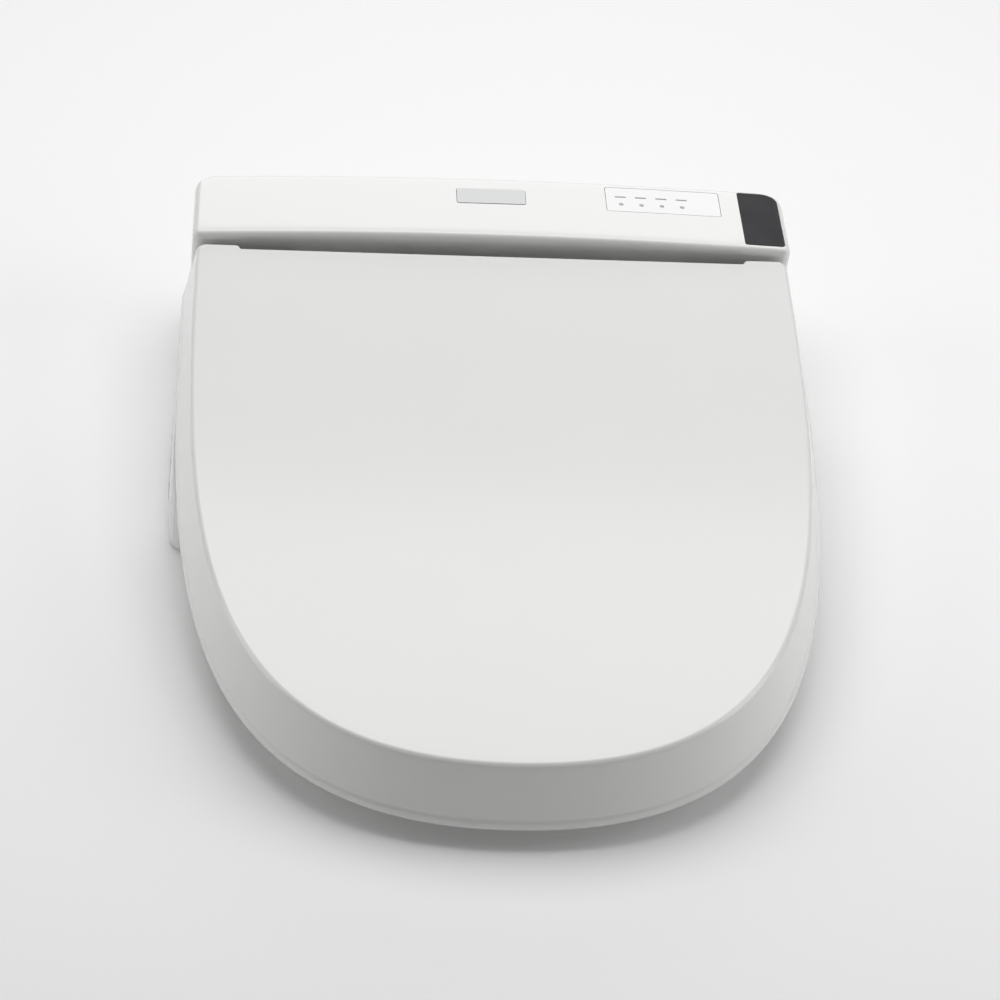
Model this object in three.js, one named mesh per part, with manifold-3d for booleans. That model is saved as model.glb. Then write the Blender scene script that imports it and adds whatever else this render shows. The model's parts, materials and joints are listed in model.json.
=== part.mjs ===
// An electric bidet seat: main unit with wand, tank, dryer and deodoriser, hinged seat ring and
// hinged lid.
// Millimetres. +Z is up, the front is -Y, and the origin is midway between the two bowl bolts, on
// the plane of the bowl's rim.
import * as THREE from "three";
import { mergeVertices } from "three/addons/utils/BufferGeometryUtils.js";
import Module from "manifold-3d";

const wasm = await Module();
wasm.setup();

// ---- driving dimensions ----
const gap = 0.4; // between neighbouring pieces
const wall = 2.6; // moulded covers
const degree = Math.PI / 180;

const lid = {
  rearY: -32,
  length: 430,
  halfWidth: 185,
  sideReach: 267, // how far forward the side runs before it turns in
  noseReach: 177, // how far out the nose runs before it turns back
  slope: 0.1,
  frontZ: 53, // height of the crease between top and skirt at the front
  skirt: 39,
  flare: 9,
  wall: 3,
  edge: 2.5,
  lip: 6,
  linerInset: 14,
  linerDepth: 3,
};
const housing = {
  gapToLid: 4.5,
  depth: 68.5,
  halfWidth: lid.halfWidth + 3,
  draft: 4,
  rise: 7, // of its top edge above the lid's rear edge
  crown: 4.5,
  rearCorner: 15,
  frontCorner: 5,
  edge: 3,
  bottomZ: 3,
  undercut: 7,
  undercutZ: 84,
};
const hinge = { y: -41, z: 84, pin: 3.5, boss: 7, earIn: 132, earOut: 150, tabIn: 158, tabOut: 181 };
const deck = {
  halfWidth: 126,
  troughZ: 71,
  crestZ: 74,
  frontY: -98,
  frontZ: 58,
  shoulderZ: 52,
  shoulderFrontZ: 46,
};
const nose = { halfWidth: 97, topRearZ: 52, topFrontZ: 46 };
const seat = {
  rearY: -104,
  inset: 8,
  underLid: 17, // its top below the lid's crease plane
  bottomZ: 9,
  split: 12,
  wall: 3,
  edge: 4,
  bridge: 16.5, // how far below its top the bridge over the unit's nose is cut off
  holeHalfWidth: 108,
  holeRearY: -152,
  holeFrontY: -404,
};
const wing = {
  inX: lid.halfWidth - 4.4,
  rearX: lid.halfWidth + 5,
  outX: lid.halfWidth + 10.2,
  frontY: -222,
  belowLid: 3.5,
  round: 14,
};
const plate = { halfWidth: 90, depth: 62, thick: 6, boltSpacing: 140, slotWidth: 11, slotLength: 34 };
const tray = { floor: 2.5, lip: 18, roomOverPlate: 3 };
const wand = {
  faceY: -136, // where its axis leaves the unit's front face
  faceZ: 14.5,
  angle: 21, // below the horizontal, in degrees
  radius: 6.5,
  bore: 4,
  setBack: 40,
  length: 140,
  tip: 18,
  travel: 105,
};
const gear = { module: 1.5, teeth: 10, width: 6, behindTip: 32, backing: 2.5 };
const shutter = { thick: 2, halfWidth: 14, hingeZ: 11.5, bottomZ: -14, knuckle: 1.8 };
const dryer = { x0: 38, x1: 76, z0: -6, z1: 13, blowerX: 78, blowerR: 27, blowerY: 7, blowerZ: 44 };

// ---- finishes ----
function finish(colour, roughness, metalness = 0) {
  return () => new THREE.MeshStandardMaterial({ color: colour, roughness, metalness });
}
const whiteShell = finish(0xf1f1ef, 0.25);
const whiteSeat = finish(0xf4f3f0, 0.3);
const innerPlastic = finish(0xd8d8d4, 0.55);
const darkWindow = finish(0x46424a, 0.2);
const frosted = finish(0xe9ebea, 0.35);
const silver = finish(0xb9bbbb, 0.35, 0.6);
const steel = finish(0xa9adb0, 0.3, 0.9);
const rubber = finish(0x8d8f8f, 0.8);
const blackPlastic = finish(0x2b2c2e, 0.5);
const circuit = finish(0x2f6b45, 0.5);
const copper = finish(0xb87a4b, 0.35, 0.8);

// ---- solids ----
function solid(geometry) {
  const bare = geometry.clone();
  bare.deleteAttribute("normal");
  bare.deleteAttribute("uv");
  const merged = mergeVertices(bare, 1e-4);
  return new wasm.Manifold(
    new wasm.Mesh({
      numProp: 3,
      vertProperties: new Float32Array(merged.attributes.position.array),
      triVerts: new Uint32Array(merged.index.array),
    }),
  );
}

function geometryOf(body) {
  const made = body.getMesh();
  return new THREE.BufferGeometry()
    .setAttribute("position", new THREE.BufferAttribute(new Float32Array(made.vertProperties), 3))
    .setIndex(new THREE.BufferAttribute(new Uint32Array(made.triVerts), 1));
}

function box(x0, x1, y0, y1, z0, z1) {
  const shape = new THREE.BoxGeometry(x1 - x0, y1 - y0, z1 - z0);
  return solid(shape.translate((x0 + x1) / 2, (y0 + y1) / 2, (z0 + z1) / 2));
}

// A round bar between two points, with an optional second radius at its far end.
function rod(from, to, radius, sides = 20, farRadius = radius) {
  const start = new THREE.Vector3(...from);
  const run = new THREE.Vector3(...to).sub(start);
  const shape = new THREE.CylinderGeometry(farRadius, radius, run.length(), sides);
  shape.translate(0, run.length() / 2, 0);
  const up = new THREE.Vector3(0, 1, 0);
  shape.applyQuaternion(new THREE.Quaternion().setFromUnitVectors(up, run.clone().normalize()));
  return solid(shape.translate(...start));
}

// A profile in the YZ plane, drawn as [y, z] points, carried along X.
function barX(profile, x0, x1) {
  const shape = new THREE.Shape(profile.map(([y, z]) => new THREE.Vector2(y, z)));
  const made = new THREE.ExtrudeGeometry(shape, { depth: x1 - x0, bevelEnabled: false });
  made.rotateX(Math.PI / 2).rotateZ(Math.PI / 2);
  return solid(made.translate(x0, 0, 0));
}

// A flat outline carried up Z.
function slab(outline, z0, z1) {
  const made = new THREE.ExtrudeGeometry(new THREE.Shape(outline), {
    depth: z1 - z0,
    bevelEnabled: false,
  });
  return solid(made.translate(0, 0, z0));
}

// A closed skin through rings of equal count, lowest ring first. height(x, y) lifts each point.
function loft(rings) {
  const count = rings[0].outline.length;
  const places = [];
  const faces = [];
  for (const { outline, height } of rings) {
    for (const p of outline) places.push(p.x, p.y, height(p.x, p.y));
  }
  for (let r = 0; r + 1 < rings.length; r++) {
    for (let i = 0; i < count; i++) {
      const a = r * count + i;
      const b = r * count + ((i + 1) % count);
      faces.push(a, b, b + count, a, b + count, a + count);
    }
  }
  const last = (rings.length - 1) * count;
  for (const [a, b, c] of THREE.ShapeUtils.triangulateShape(rings[0].outline, [])) faces.push(c, b, a);
  for (const [a, b, c] of THREE.ShapeUtils.triangulateShape(rings.at(-1).outline, [])) {
    faces.push(last + a, last + b, last + c);
  }
  const made = new THREE.BufferGeometry();
  made.setAttribute("position", new THREE.Float32BufferAttribute(places, 3));
  made.setIndex(faces);
  return solid(made);
}

const joined = (...bodies) => bodies.reduce((sum, next) => sum.add(next));
const cut = (body, ...tools) => tools.reduce((left, next) => left.subtract(next), body);

const model = new THREE.Group();

function add(name, body, colour, parent = model) {
  const mesh = new THREE.Mesh(geometryOf(body), colour());
  mesh.name = name;
  parent.add(mesh);
}

// ---- outlines ----
const lidFrontY = lid.rearY - lid.length;
const creaseZ = (x, y) => lid.frontZ + lid.slope * (y - lidFrontY);

// The D-shaped outline of lid and seat, grown by "grow" and ending at rearY, counter-clockwise.
function dOutline(grow, rearY, steps = 22) {
  const side = new THREE.CubicBezierCurve(
    new THREE.Vector2(lid.halfWidth, lid.rearY),
    new THREE.Vector2(lid.halfWidth + 3, lid.rearY - lid.sideReach),
    new THREE.Vector2(lid.noseReach, lidFrontY),
    new THREE.Vector2(0, lidFrontY),
  );
  const first = Math.max(0, (lid.rearY - rearY) / (3 * lid.sideReach));
  const right = [];
  for (let i = 0; i <= steps; i++) {
    const t = first + ((1 - first) * i) / steps;
    const along = side.getTangent(t);
    right.push(side.getPoint(t).add(new THREE.Vector2(-along.y, along.x).multiplyScalar(grow)));
  }
  right[0].y = rearY;
  right[steps].x = 0;
  const left = right.slice(0, steps).map((p) => new THREE.Vector2(-p.x, p.y));
  return [...left, ...right.reverse()];
}

// An upright bar's plan, rounded at its corners, with points along both long edges.
function barOutline(half, frontY, rearY, frontCorner, rearCorner, steps = 8) {
  const points = [];
  const corner = (x, y, radius, start) => {
    for (let i = 0; i <= 4; i++) {
      const turn = (start + i * 22.5) * degree;
      points.push(new THREE.Vector2(x + radius * Math.cos(turn), y + radius * Math.sin(turn)));
    }
  };
  const edge = (x0, x1, y) => {
    for (let i = 1; i < steps; i++) points.push(new THREE.Vector2(x0 + ((x1 - x0) * i) / steps, y));
  };
  corner(frontCorner - half, frontY + frontCorner, frontCorner, 180);
  edge(frontCorner - half, half - frontCorner, frontY);
  corner(half - frontCorner, frontY + frontCorner, frontCorner, 270);
  corner(half - rearCorner, rearY - rearCorner, rearCorner, 0);
  edge(half - rearCorner, rearCorner - half, rearY);
  corner(rearCorner - half, rearY - rearCorner, rearCorner, 90);
  return points;
}

function ovalOutline(half, frontY, rearY, power = 2.4, steps = 36) {
  const points = [];
  for (let i = 0; i < steps; i++) {
    const turn = (i / steps) * 2 * Math.PI;
    const bend = (v) => Math.sign(v) * Math.abs(v) ** (2 / power);
    const y = (frontY + rearY) / 2 + ((rearY - frontY) / 2) * bend(Math.sin(turn));
    points.push(new THREE.Vector2(half * bend(Math.cos(turn)), y));
  }
  return points;
}

const circle = (y, z, radius, sides = 20) =>
  Array.from({ length: sides }, (_, i) => {
    const turn = (i / sides) * 2 * Math.PI;
    return [y + radius * Math.cos(turn), z + radius * Math.sin(turn)];
  });

// ---- lid ----
function lidRing(grow, rearY, below) {
  return { outline: dOutline(grow, rearY), height: (x, y) => creaseZ(x, y) - below };
}

function makeLid() {
  const { wall: thick, flare, skirt, edge, rearY } = lid;
  const flareAt = (below) => (flare * below) / skirt;
  const outer = loft([
    lidRing(flare, rearY, skirt),
    lidRing(flareAt(edge), rearY, edge),
    lidRing(-edge, rearY, 0),
  ]);
  const inner = loft([
    lidRing(flareAt(skirt + 2) - thick, rearY - thick, skirt + 2),
    lidRing(flareAt(edge) - thick, rearY - thick, edge + thick),
    lidRing(-edge - thick, rearY - thick, thick),
  ]);
  const rearZ = creaseZ(0, rearY);
  const openRear = box(-lid.halfWidth + 3, lid.halfWidth - 3, rearY - 8, rearY + 8, 0, rearZ - lid.lip);
  const tabs = [-1, 1].map((side) => {
    const x0 = Math.min(side * hinge.tabIn, side * hinge.tabOut);
    const x1 = x0 + hinge.tabOut - hinge.tabIn;
    const eye = barX(circle(hinge.y, hinge.z, hinge.boss + 0.5), x0, x1);
    const web = barX(
      [
        [hinge.y - 10, creaseZ(0, hinge.y) - 4],
        [hinge.y - 5, hinge.z + 2],
        [hinge.y + 5, hinge.z + 2],
        [rearY + 3.5, rearZ - 6],
        [rearY + 3.5, rearZ - 1],
        [rearY - 2, creaseZ(0, rearY) - 0.4],
      ],
      x0,
      x1,
    );
    return joined(eye, web);
  });
  const bores = [-1, 1].map((side) => {
    const inX = side * (hinge.tabIn - 2);
    const outX = side * (hinge.tabOut - 3);
    return rod([inX, hinge.y, hinge.z], [outX, hinge.y, hinge.z], hinge.pin + gap);
  });
  add("lid_cover", cut(joined(cut(outer, inner, openRear), ...tabs), ...bores), whiteShell);

  const plateTop = thick + gap;
  const linerRear = hinge.y - 34;
  const liner = loft([
    lidRing(-lid.linerInset, linerRear, plateTop + lid.linerDepth + 2),
    lidRing(-lid.linerInset, linerRear, plateTop),
  ]);
  const hollow = loft([
    lidRing(-lid.linerInset - 2.4, linerRear - 2.4, plateTop + lid.linerDepth),
    lidRing(-lid.linerInset - 2.4, linerRear - 2.4, plateTop - 2),
  ]);
  add("lid_liner", cut(liner, hollow), whiteShell);

  const bumperTop = plateTop + lid.linerDepth + 2 + gap;
  const bumperRadius = 7;
  const bumperRun = seat.underLid - bumperTop - gap - lid.slope * bumperRadius;
  for (const [name, side] of [["lid_bumper_left", -1], ["lid_bumper_right", 1]]) {
    const x = side * 128;
    const y = lidFrontY + 128;
    const top = creaseZ(x, y) - bumperTop;
    const foot = [x, y, top - bumperRun];
    add(name, rod(foot, [x, y, top - lid.slope * bumperRadius], 6, 14, bumperRadius), rubber);
  }
  add(
    "lid_hinge_pin",
    rod([-hinge.tabOut + 3.6, hinge.y, hinge.z], [-deck.halfWidth + 28, hinge.y, hinge.z], hinge.pin),
    steel,
  );
}

// ---- seat ----
const seatTopZ = (x, y) => creaseZ(x, y) - seat.underLid;

function makeSeat() {
  const { inset, edge, wall: thick, split, rearY, bottomZ } = seat;
  const plan = (extra, rearExtra = extra) => dOutline(-inset - extra, rearY - rearExtra, 18);
  const hole = (extra) =>
    ovalOutline(seat.holeHalfWidth + extra, seat.holeFrontY - extra, seat.holeRearY + extra);
  const under = (depth) => (x, y) => seatTopZ(x, y) - depth;
  const level = (z) => () => z;
  const splitZ = under(split);

  const topOuter = loft([
    { outline: plan(0), height: splitZ },
    { outline: plan(0), height: under(edge) },
    { outline: plan(edge), height: under(0) },
  ]);
  const topHole = loft([
    { outline: hole(0), height: under(split + 2) },
    { outline: hole(0), height: under(edge) },
    { outline: hole(edge), height: under(0) },
    { outline: hole(edge), height: under(-3) },
  ]);
  const topRoom = loft([
    { outline: plan(thick), height: under(split + 2) },
    { outline: plan(thick), height: under(edge + thick) },
    { outline: plan(edge + thick), height: under(thick) },
  ]);
  const topCore = loft([
    { outline: hole(thick), height: under(split + 4) },
    { outline: hole(thick), height: under(edge + thick) },
    { outline: hole(edge + thick), height: under(thick) },
    { outline: hole(edge + thick), height: under(-3) },
  ]);
  add("seat_top", cut(topOuter, topHole, cut(topRoom, topCore)), whiteSeat);

  const upper = under(split + gap);
  const outer = loft([
    { outline: plan(2), height: level(bottomZ) },
    { outline: plan(0), height: level(bottomZ + 3) },
    { outline: plan(0), height: upper },
  ]);
  const bore = loft([
    { outline: hole(3), height: level(bottomZ - 2) },
    { outline: hole(0), height: level(bottomZ + 3) },
    { outline: hole(0), height: under(-3) },
  ]);
  const room = loft([
    { outline: plan(thick), height: level(bottomZ + thick) },
    { outline: plan(thick), height: under(-3) },
  ]);
  const core = loft([
    { outline: hole(thick), height: level(bottomZ) },
    { outline: hole(thick), height: under(-4) },
  ]);
  // Under the bridge the unit's nose needs room, so the lower shell is closed above it.
  const noseRoom = nose.halfWidth + 6;
  const bridgeRearZ = seatTopZ(0, rearY) - seat.bridge;
  const block = (half, frontY, backY, depth) => {
    const corners = [[-half, frontY], [half, frontY], [half, backY], [-half, backY]];
    const outline = corners.map(([x, y]) => new THREE.Vector2(x, y));
    return loft([
      { outline, height: level(0) },
      { outline, height: under(depth) },
    ]);
  };
  const bridgeCut = block(noseRoom, seat.holeRearY - 50, rearY + 10, seat.bridge);
  const bridge = block(noseRoom + thick, seat.holeRearY - 50, rearY - 1, -3);
  const ears = [-1, 1].map((side) => {
    const x0 = Math.min(side * hinge.earIn, side * hinge.earOut);
    const x1 = x0 + hinge.earOut - hinge.earIn;
    const rootTop = splitZ(0, rearY) - gap;
    const arm = barX(
      [
        [rearY - 12, bridgeRearZ + 1],
        [rearY + 6, bridgeRearZ + 1],
        [hinge.y + 3, hinge.z - 5.5],
        [hinge.y + 2, hinge.z + 5],
        [hinge.y - 6, hinge.z + 3],
        [rearY + 8, rootTop + 2],
        [rearY + 0.8, rootTop],
        [rearY - 12, splitZ(0, rearY - 12) - gap - 0.2],
      ],
      x0,
      x1,
    );
    return joined(arm, barX(circle(hinge.y, hinge.z, hinge.boss), x0, x1));
  });
  const pinBores = [-1, 1].map((side) => {
    const inX = side * (hinge.earIn - 2);
    const outX = side * (hinge.earOut + 2);
    return rod([inX, hinge.y, hinge.z], [outX, hinge.y, hinge.z], hinge.pin + gap);
  });
  const shell = cut(outer, cut(room, core, bridge), bore);
  const lower = cut(joined(shell, ...ears), bridgeCut, ...pinBores);
  add("seat_bottom", lower, whiteSeat);

  const heatPlan = (extra) => plan(thick + 3 + extra, thick + 3 + extra);
  const heatTop = edge + thick + gap;
  const heater = loft([
    { outline: heatPlan(0), height: under(heatTop + 1.6) },
    { outline: heatPlan(0), height: under(heatTop) },
  ]);
  const heaterHole = loft([
    { outline: hole(thick + 3), height: under(heatTop + 6) },
    { outline: hole(thick + 3), height: under(heatTop - 6) },
  ]);
  add("seat_heater", cut(heater, heaterHole), copper);

  const pads = [
    ["seat_bumper_rear_left", -142, seat.holeRearY - 50],
    ["seat_bumper_rear_right", 142, seat.holeRearY - 50],
    ["seat_bumper_front_left", -88, seat.holeFrontY + 2],
    ["seat_bumper_front_right", 88, seat.holeFrontY + 2],
  ];
  for (const [name, x, y] of pads) {
    add(name, rod([x, y, 0], [x, y, bottomZ - gap], 8, 14, 9.5), rubber);
  }
  add(
    "seat_hinge_pin",
    rod([hinge.tabOut - 3.6, hinge.y, hinge.z], [deck.halfWidth - 28, hinge.y, hinge.z], hinge.pin),
    steel,
  );
}

// ---- rear housing ----
const housingFrontY = lid.rearY + housing.gapToLid;
const housingRearY = housingFrontY + housing.depth;
const housingTopZ = creaseZ(0, lid.rearY) + housing.rise;
const undercutY = housingFrontY + housing.undercut;
const crownZ = (x) => housing.crown * (1 - (x / housing.halfWidth) ** 2);

function housingRings(inset, bottomZ) {
  const { halfWidth, draft, frontCorner, rearCorner, edge } = housing;
  const ring = (grow, frontY, rearGrow, z, crowned) => ({
    outline: barOutline(
      halfWidth + grow - inset,
      frontY + inset,
      housingRearY + rearGrow - inset,
      Math.max(1, frontCorner - inset),
      Math.max(1, rearCorner - inset),
    ),
    height: (x) => z + (crowned ? crownZ(x) : 0),
  });
  return [
    ring(draft, undercutY, 1.5, bottomZ, false),
    ring(1, undercutY, 0.5, housing.undercutZ, false),
    ring(0, housingFrontY + 0.6, 0, housingTopZ - edge - inset / 2, true),
    ring(-edge, housingFrontY + edge, -edge, housingTopZ - inset, true),
  ];
}

// The top panel's own pieces: [name, x0, x1, y0, y1], y from the housing's front edge.
const panel = {
  sink: 0.9,
  badge: [-22, 21.5, 37.5, 54.5],
  window: [73.5, 146.5, 34.7, 62.5],
  receiver: [159.5, 184.5, 4, 65],
};

function panelSolid([x0, x1, y0, y1], below, above, corner = 2) {
  const outline = barOutline((x1 - x0) / 2, y0, y1, corner, corner, 2);
  const middle = (x0 + x1) / 2;
  for (const p of outline) p.add(new THREE.Vector2(middle, housingFrontY));
  const at = (z) => (x) => housingTopZ + crownZ(x) + z;
  return loft([
    { outline, height: at(below) },
    { outline, height: at(above) },
  ]);
}

function makeHousing() {
  const outer = loft(housingRings(0, housing.bottomZ));
  const inner = loft(housingRings(wall, housing.bottomZ - 2));
  const throughFront = box(
    -deck.halfWidth + wall,
    deck.halfWidth - wall,
    housingFrontY - 2,
    undercutY + wall + 1,
    0,
    deck.troughZ - wall,
  );
  const shoulderRoom = box(
    -housing.halfWidth - 9,
    housing.halfWidth + 9,
    undercutY - 1,
    undercutY + wall + 1,
    0,
    housing.bottomZ + tray.lip + 1,
  );
  const plateRoom = box(
    -plate.halfWidth - 4,
    plate.halfWidth + 4,
    housingRearY - 9,
    housingRearY + 9,
    0,
    plate.thick + tray.roomOverPlate + tray.floor + gap,
  );
  const grown = ([x0, x1, y0, y1]) => [x0 - gap, x1 + gap, y0 - gap, y1 + gap];
  const pockets = [panel.badge, panel.window, panel.receiver].map((place) =>
    panelSolid(grown(place), -panel.sink - gap, 9, 2 + gap),
  );
  const lightHoles = ledPlaces().map(([x, y]) =>
    rod([x, y, housingTopZ - 9], [x, y, housingTopZ + 9], 1.7, 10),
  );
  const rx = (panel.receiver[0] + panel.receiver[1]) / 2;
  const ry = housingFrontY + 35;
  const receiverHole = box(rx - 4.4, rx + 4.4, ry - 4.4, ry + 4.4, housingTopZ - 9, housingTopZ + 9);
  const sideIn = housing.halfWidth - 6;
  const sideOut = housing.halfWidth + 9;
  const sideHoles = [
    box(sideIn, sideOut, ...filterDoor.hole),
    rod([sideIn, release.y, release.z], [sideOut, release.y, release.z], 8.4),
    rod([-sideIn, drain.y, drain.z], [-sideOut, drain.y, drain.z], 11.4),
    rod([inlet.x, housingRearY - 6, inlet.z], [inlet.x, housingRearY + 9, inlet.z], 14, 24),
    rod([gland.x, housingRearY - 6, gland.z], [gland.x, housingRearY + 9, gland.z], 8.4),
  ];
  const rooms = [throughFront, shoulderRoom, plateRoom];
  const shell = cut(outer, inner, ...rooms, ...pockets, ...lightHoles, receiverHole, ...sideHoles);
  add("rear_housing", shell, whiteShell);
  add("badge_plate", panelSolid(panel.badge, -panel.sink, 0.25), silver);
  add("indicator_window", panelSolid(panel.window, -panel.sink, 0.2), frosted);
  add("receiver_window", panelSolid(panel.receiver, -panel.sink, 0.2), darkWindow);

  const boardTop = housingTopZ - wall - 5;
  const pips = ledPlaces().map(([x, y]) =>
    rod([x, y, boardTop - 1], [x, y, housingTopZ + crownZ(x) - panel.sink - 2 * gap], 1.2, 10),
  );
  const [x0, y0] = ledPlaces()[0];
  const base = box(x0 - 5, rx + 6, ry - 6, y0 + 4, boardTop - 2, boardTop);
  const receiver = box(
    rx - 4,
    rx + 4,
    ry - 4,
    ry + 4,
    boardTop - 1,
    housingTopZ + crownZ(rx + 4) - panel.sink - 2 * gap,
  );
  add("indicator_board", joined(base, receiver, ...pips), circuit);
}

function ledPlaces() {
  return [82.8, 95.9, 109.0, 122.1].map((x) => [x, housingFrontY + 43]);
}

// ---- side pieces' places ----
const release = { y: 17, z: 17, travel: 4, springEnd: 28.4 };
const drain = { y: 14, z: 24 };
const inlet = { x: -150, z: 26 };
const gland = { x: 158, z: 20 };
const filterDoor = { y0: -12, y1: 26, z0: 46, z1: 74, depth: 52, travel: 70 };
filterDoor.hole = [
  filterDoor.y0 - gap,
  filterDoor.y1 + gap,
  filterDoor.z0 - gap,
  filterDoor.z1 + gap,
];

// ---- front cover: deck, shoulders and nose in one moulding ----
const toFace = (reach) => {
  const turn = wand.angle * degree;
  return [wand.faceY - reach * Math.sin(turn), wand.faceZ + reach * Math.cos(turn)];
};
const faceReach = (z) => (z - wand.faceZ) / Math.cos(wand.angle * degree);

function coverRearY() {
  return undercutY - gap;
}

function coverSolid(inset, bottomZ) {
  const rear = coverRearY() + (inset ? 2 : 0);
  const crestY = hinge.y - 3;
  const top = (z) => z - inset;
  const faceTop = toFace(faceReach(nose.topFrontZ - inset));
  const faceLow = toFace(faceReach(bottomZ));
  const deckBar = barX(
    [
      [rear, bottomZ],
      [rear, top(deck.troughZ)],
      [crestY + inset, top(deck.troughZ)],
      [crestY - 4, top(deck.crestZ)],
      [deck.frontY + inset, top(deck.frontZ)],
      [deck.frontY + inset, bottomZ],
    ],
    -deck.halfWidth + inset,
    deck.halfWidth - inset,
  );
  const noseBar = barX(
    [
      [deck.frontY + 12, bottomZ],
      [deck.frontY + 12, top(nose.topRearZ)],
      [deck.frontY - 4, top(nose.topRearZ)],
      [faceTop[0] + inset * 1.1, faceTop[1]],
      [faceLow[0] + inset * 1.1, faceLow[1]],
    ],
    -nose.halfWidth + inset,
    nose.halfWidth - inset,
  );
  const shoulderBar = barX(
    [
      [rear, bottomZ],
      [rear, top(deck.shoulderZ)],
      [deck.frontY + inset, top(deck.shoulderFrontZ)],
      [deck.frontY + inset, bottomZ],
    ],
    -wing.inX + gap + inset,
    housing.halfWidth - inset,
  );
  return joined(deckBar, noseBar, shoulderBar);
}

// A hinge boss on each side holds a damper: round over the axis, with a web down its front.
function bossSolid(inX, outX, radius, reachDown) {
  const round = barX(circle(hinge.y, hinge.z, radius), inX, outX);
  const webDepth = radius * 0.94;
  const web = barX(
    [
      [hinge.y - webDepth, hinge.z + 1],
      [hinge.y - webDepth - 4, reachDown],
      [hinge.y - 2, reachDown],
      [hinge.y + 3, hinge.z - 5],
      [hinge.y + 3, hinge.z],
    ],
    inX,
    outX,
  );
  return joined(round, web);
}

const bossRange = { inX: 66, wall: 1.5 };
const screw = { x: 132, y: deck.frontY + 60, shank: 1.8, post: 4.4, topZ: 22 };

// Where the tray's floor passes out to carry the wing.
function wingPassage() {
  const z1 = housing.bottomZ + tray.floor + gap;
  return box(-wing.inX - wall - 2, -wing.inX + wall + 2, deck.frontY + 1, coverRearY() - 5, 0, z1);
}

function makeFrontCover() {
  const bottomZ = housing.bottomZ;
  const sides = [-1, 1];
  const span = (side, a, b) => [Math.min(side * a, side * b), Math.max(side * a, side * b)];
  const bosses = sides.map((side) =>
    bossSolid(...span(side, bossRange.inX, deck.halfWidth), hinge.boss, deck.troughZ - wall),
  );
  const rooms = sides.map((side) =>
    bossSolid(
      ...span(side, bossRange.inX + wall, deck.halfWidth - wall),
      hinge.boss - bossRange.wall,
      deck.troughZ - wall - 3,
    ),
  );
  const pinHoles = sides.map((side) => {
    const [x0, x1] = span(side, deck.halfWidth - wall - 2, deck.halfWidth + 2);
    return rod([x0, hinge.y, hinge.z], [x1, hinge.y, hinge.z], hinge.pin + gap);
  });
  const cover = cut(
    joined(coverSolid(0, bottomZ), ...bosses),
    coverSolid(wall, bottomZ - 3),
    ...rooms,
    ...pinHoles,
  );
  // A hollow post under each shoulder takes a screw from the tray.
  const postFoot = bottomZ + tray.floor + gap;
  const posts = sides.map((side) => {
    const x = side * screw.x;
    const post = rod([x, screw.y, postFoot], [x, screw.y, deck.shoulderZ - wall], screw.post, 14);
    return post.subtract(rod([x, screw.y, 0], [x, screw.y, screw.topZ + 2], screw.shank + gap, 12));
  });
  const wandHole = localBox(-12, 12, -4, 9, shutter.bottomZ + 1.2, wand.radius + 2);
  const airHole = localBox(dryer.x0 + 2, dryer.x1 - 2, -4, 9, dryer.z0 + 1.5, dryer.z1 - 2);
  add("front_cover", joined(cut(cover, wandHole, airHole, wingPassage()), ...posts), whiteShell);
}

// ---- the wand's frame: local -Y runs out along the wand, local +Z is square to it ----
const wandFrame = new THREE.Group();
wandFrame.position.set(0, wand.faceY, wand.faceZ);
wandFrame.rotation.x = wand.angle * degree;
wandFrame.updateMatrix();

function localBox(x0, x1, y0, y1, z0, z1) {
  const shape = new THREE.BoxGeometry(x1 - x0, y1 - y0, z1 - z0);
  shape.translate((x0 + x1) / 2, (y0 + y1) / 2, (z0 + z1) / 2);
  return solid(shape.applyMatrix4(wandFrame.matrix));
}

const pitchRadius = (gear.module * gear.teeth) / 2;
const pitch = Math.PI * gear.module;
const rackTopZ = -wand.radius - gap;
const pitchZ = rackTopZ - gear.backing - gear.module;
const pinionY = wand.setBack + gear.behindTip;
const pinionZ = pitchZ - pitchRadius;

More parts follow.
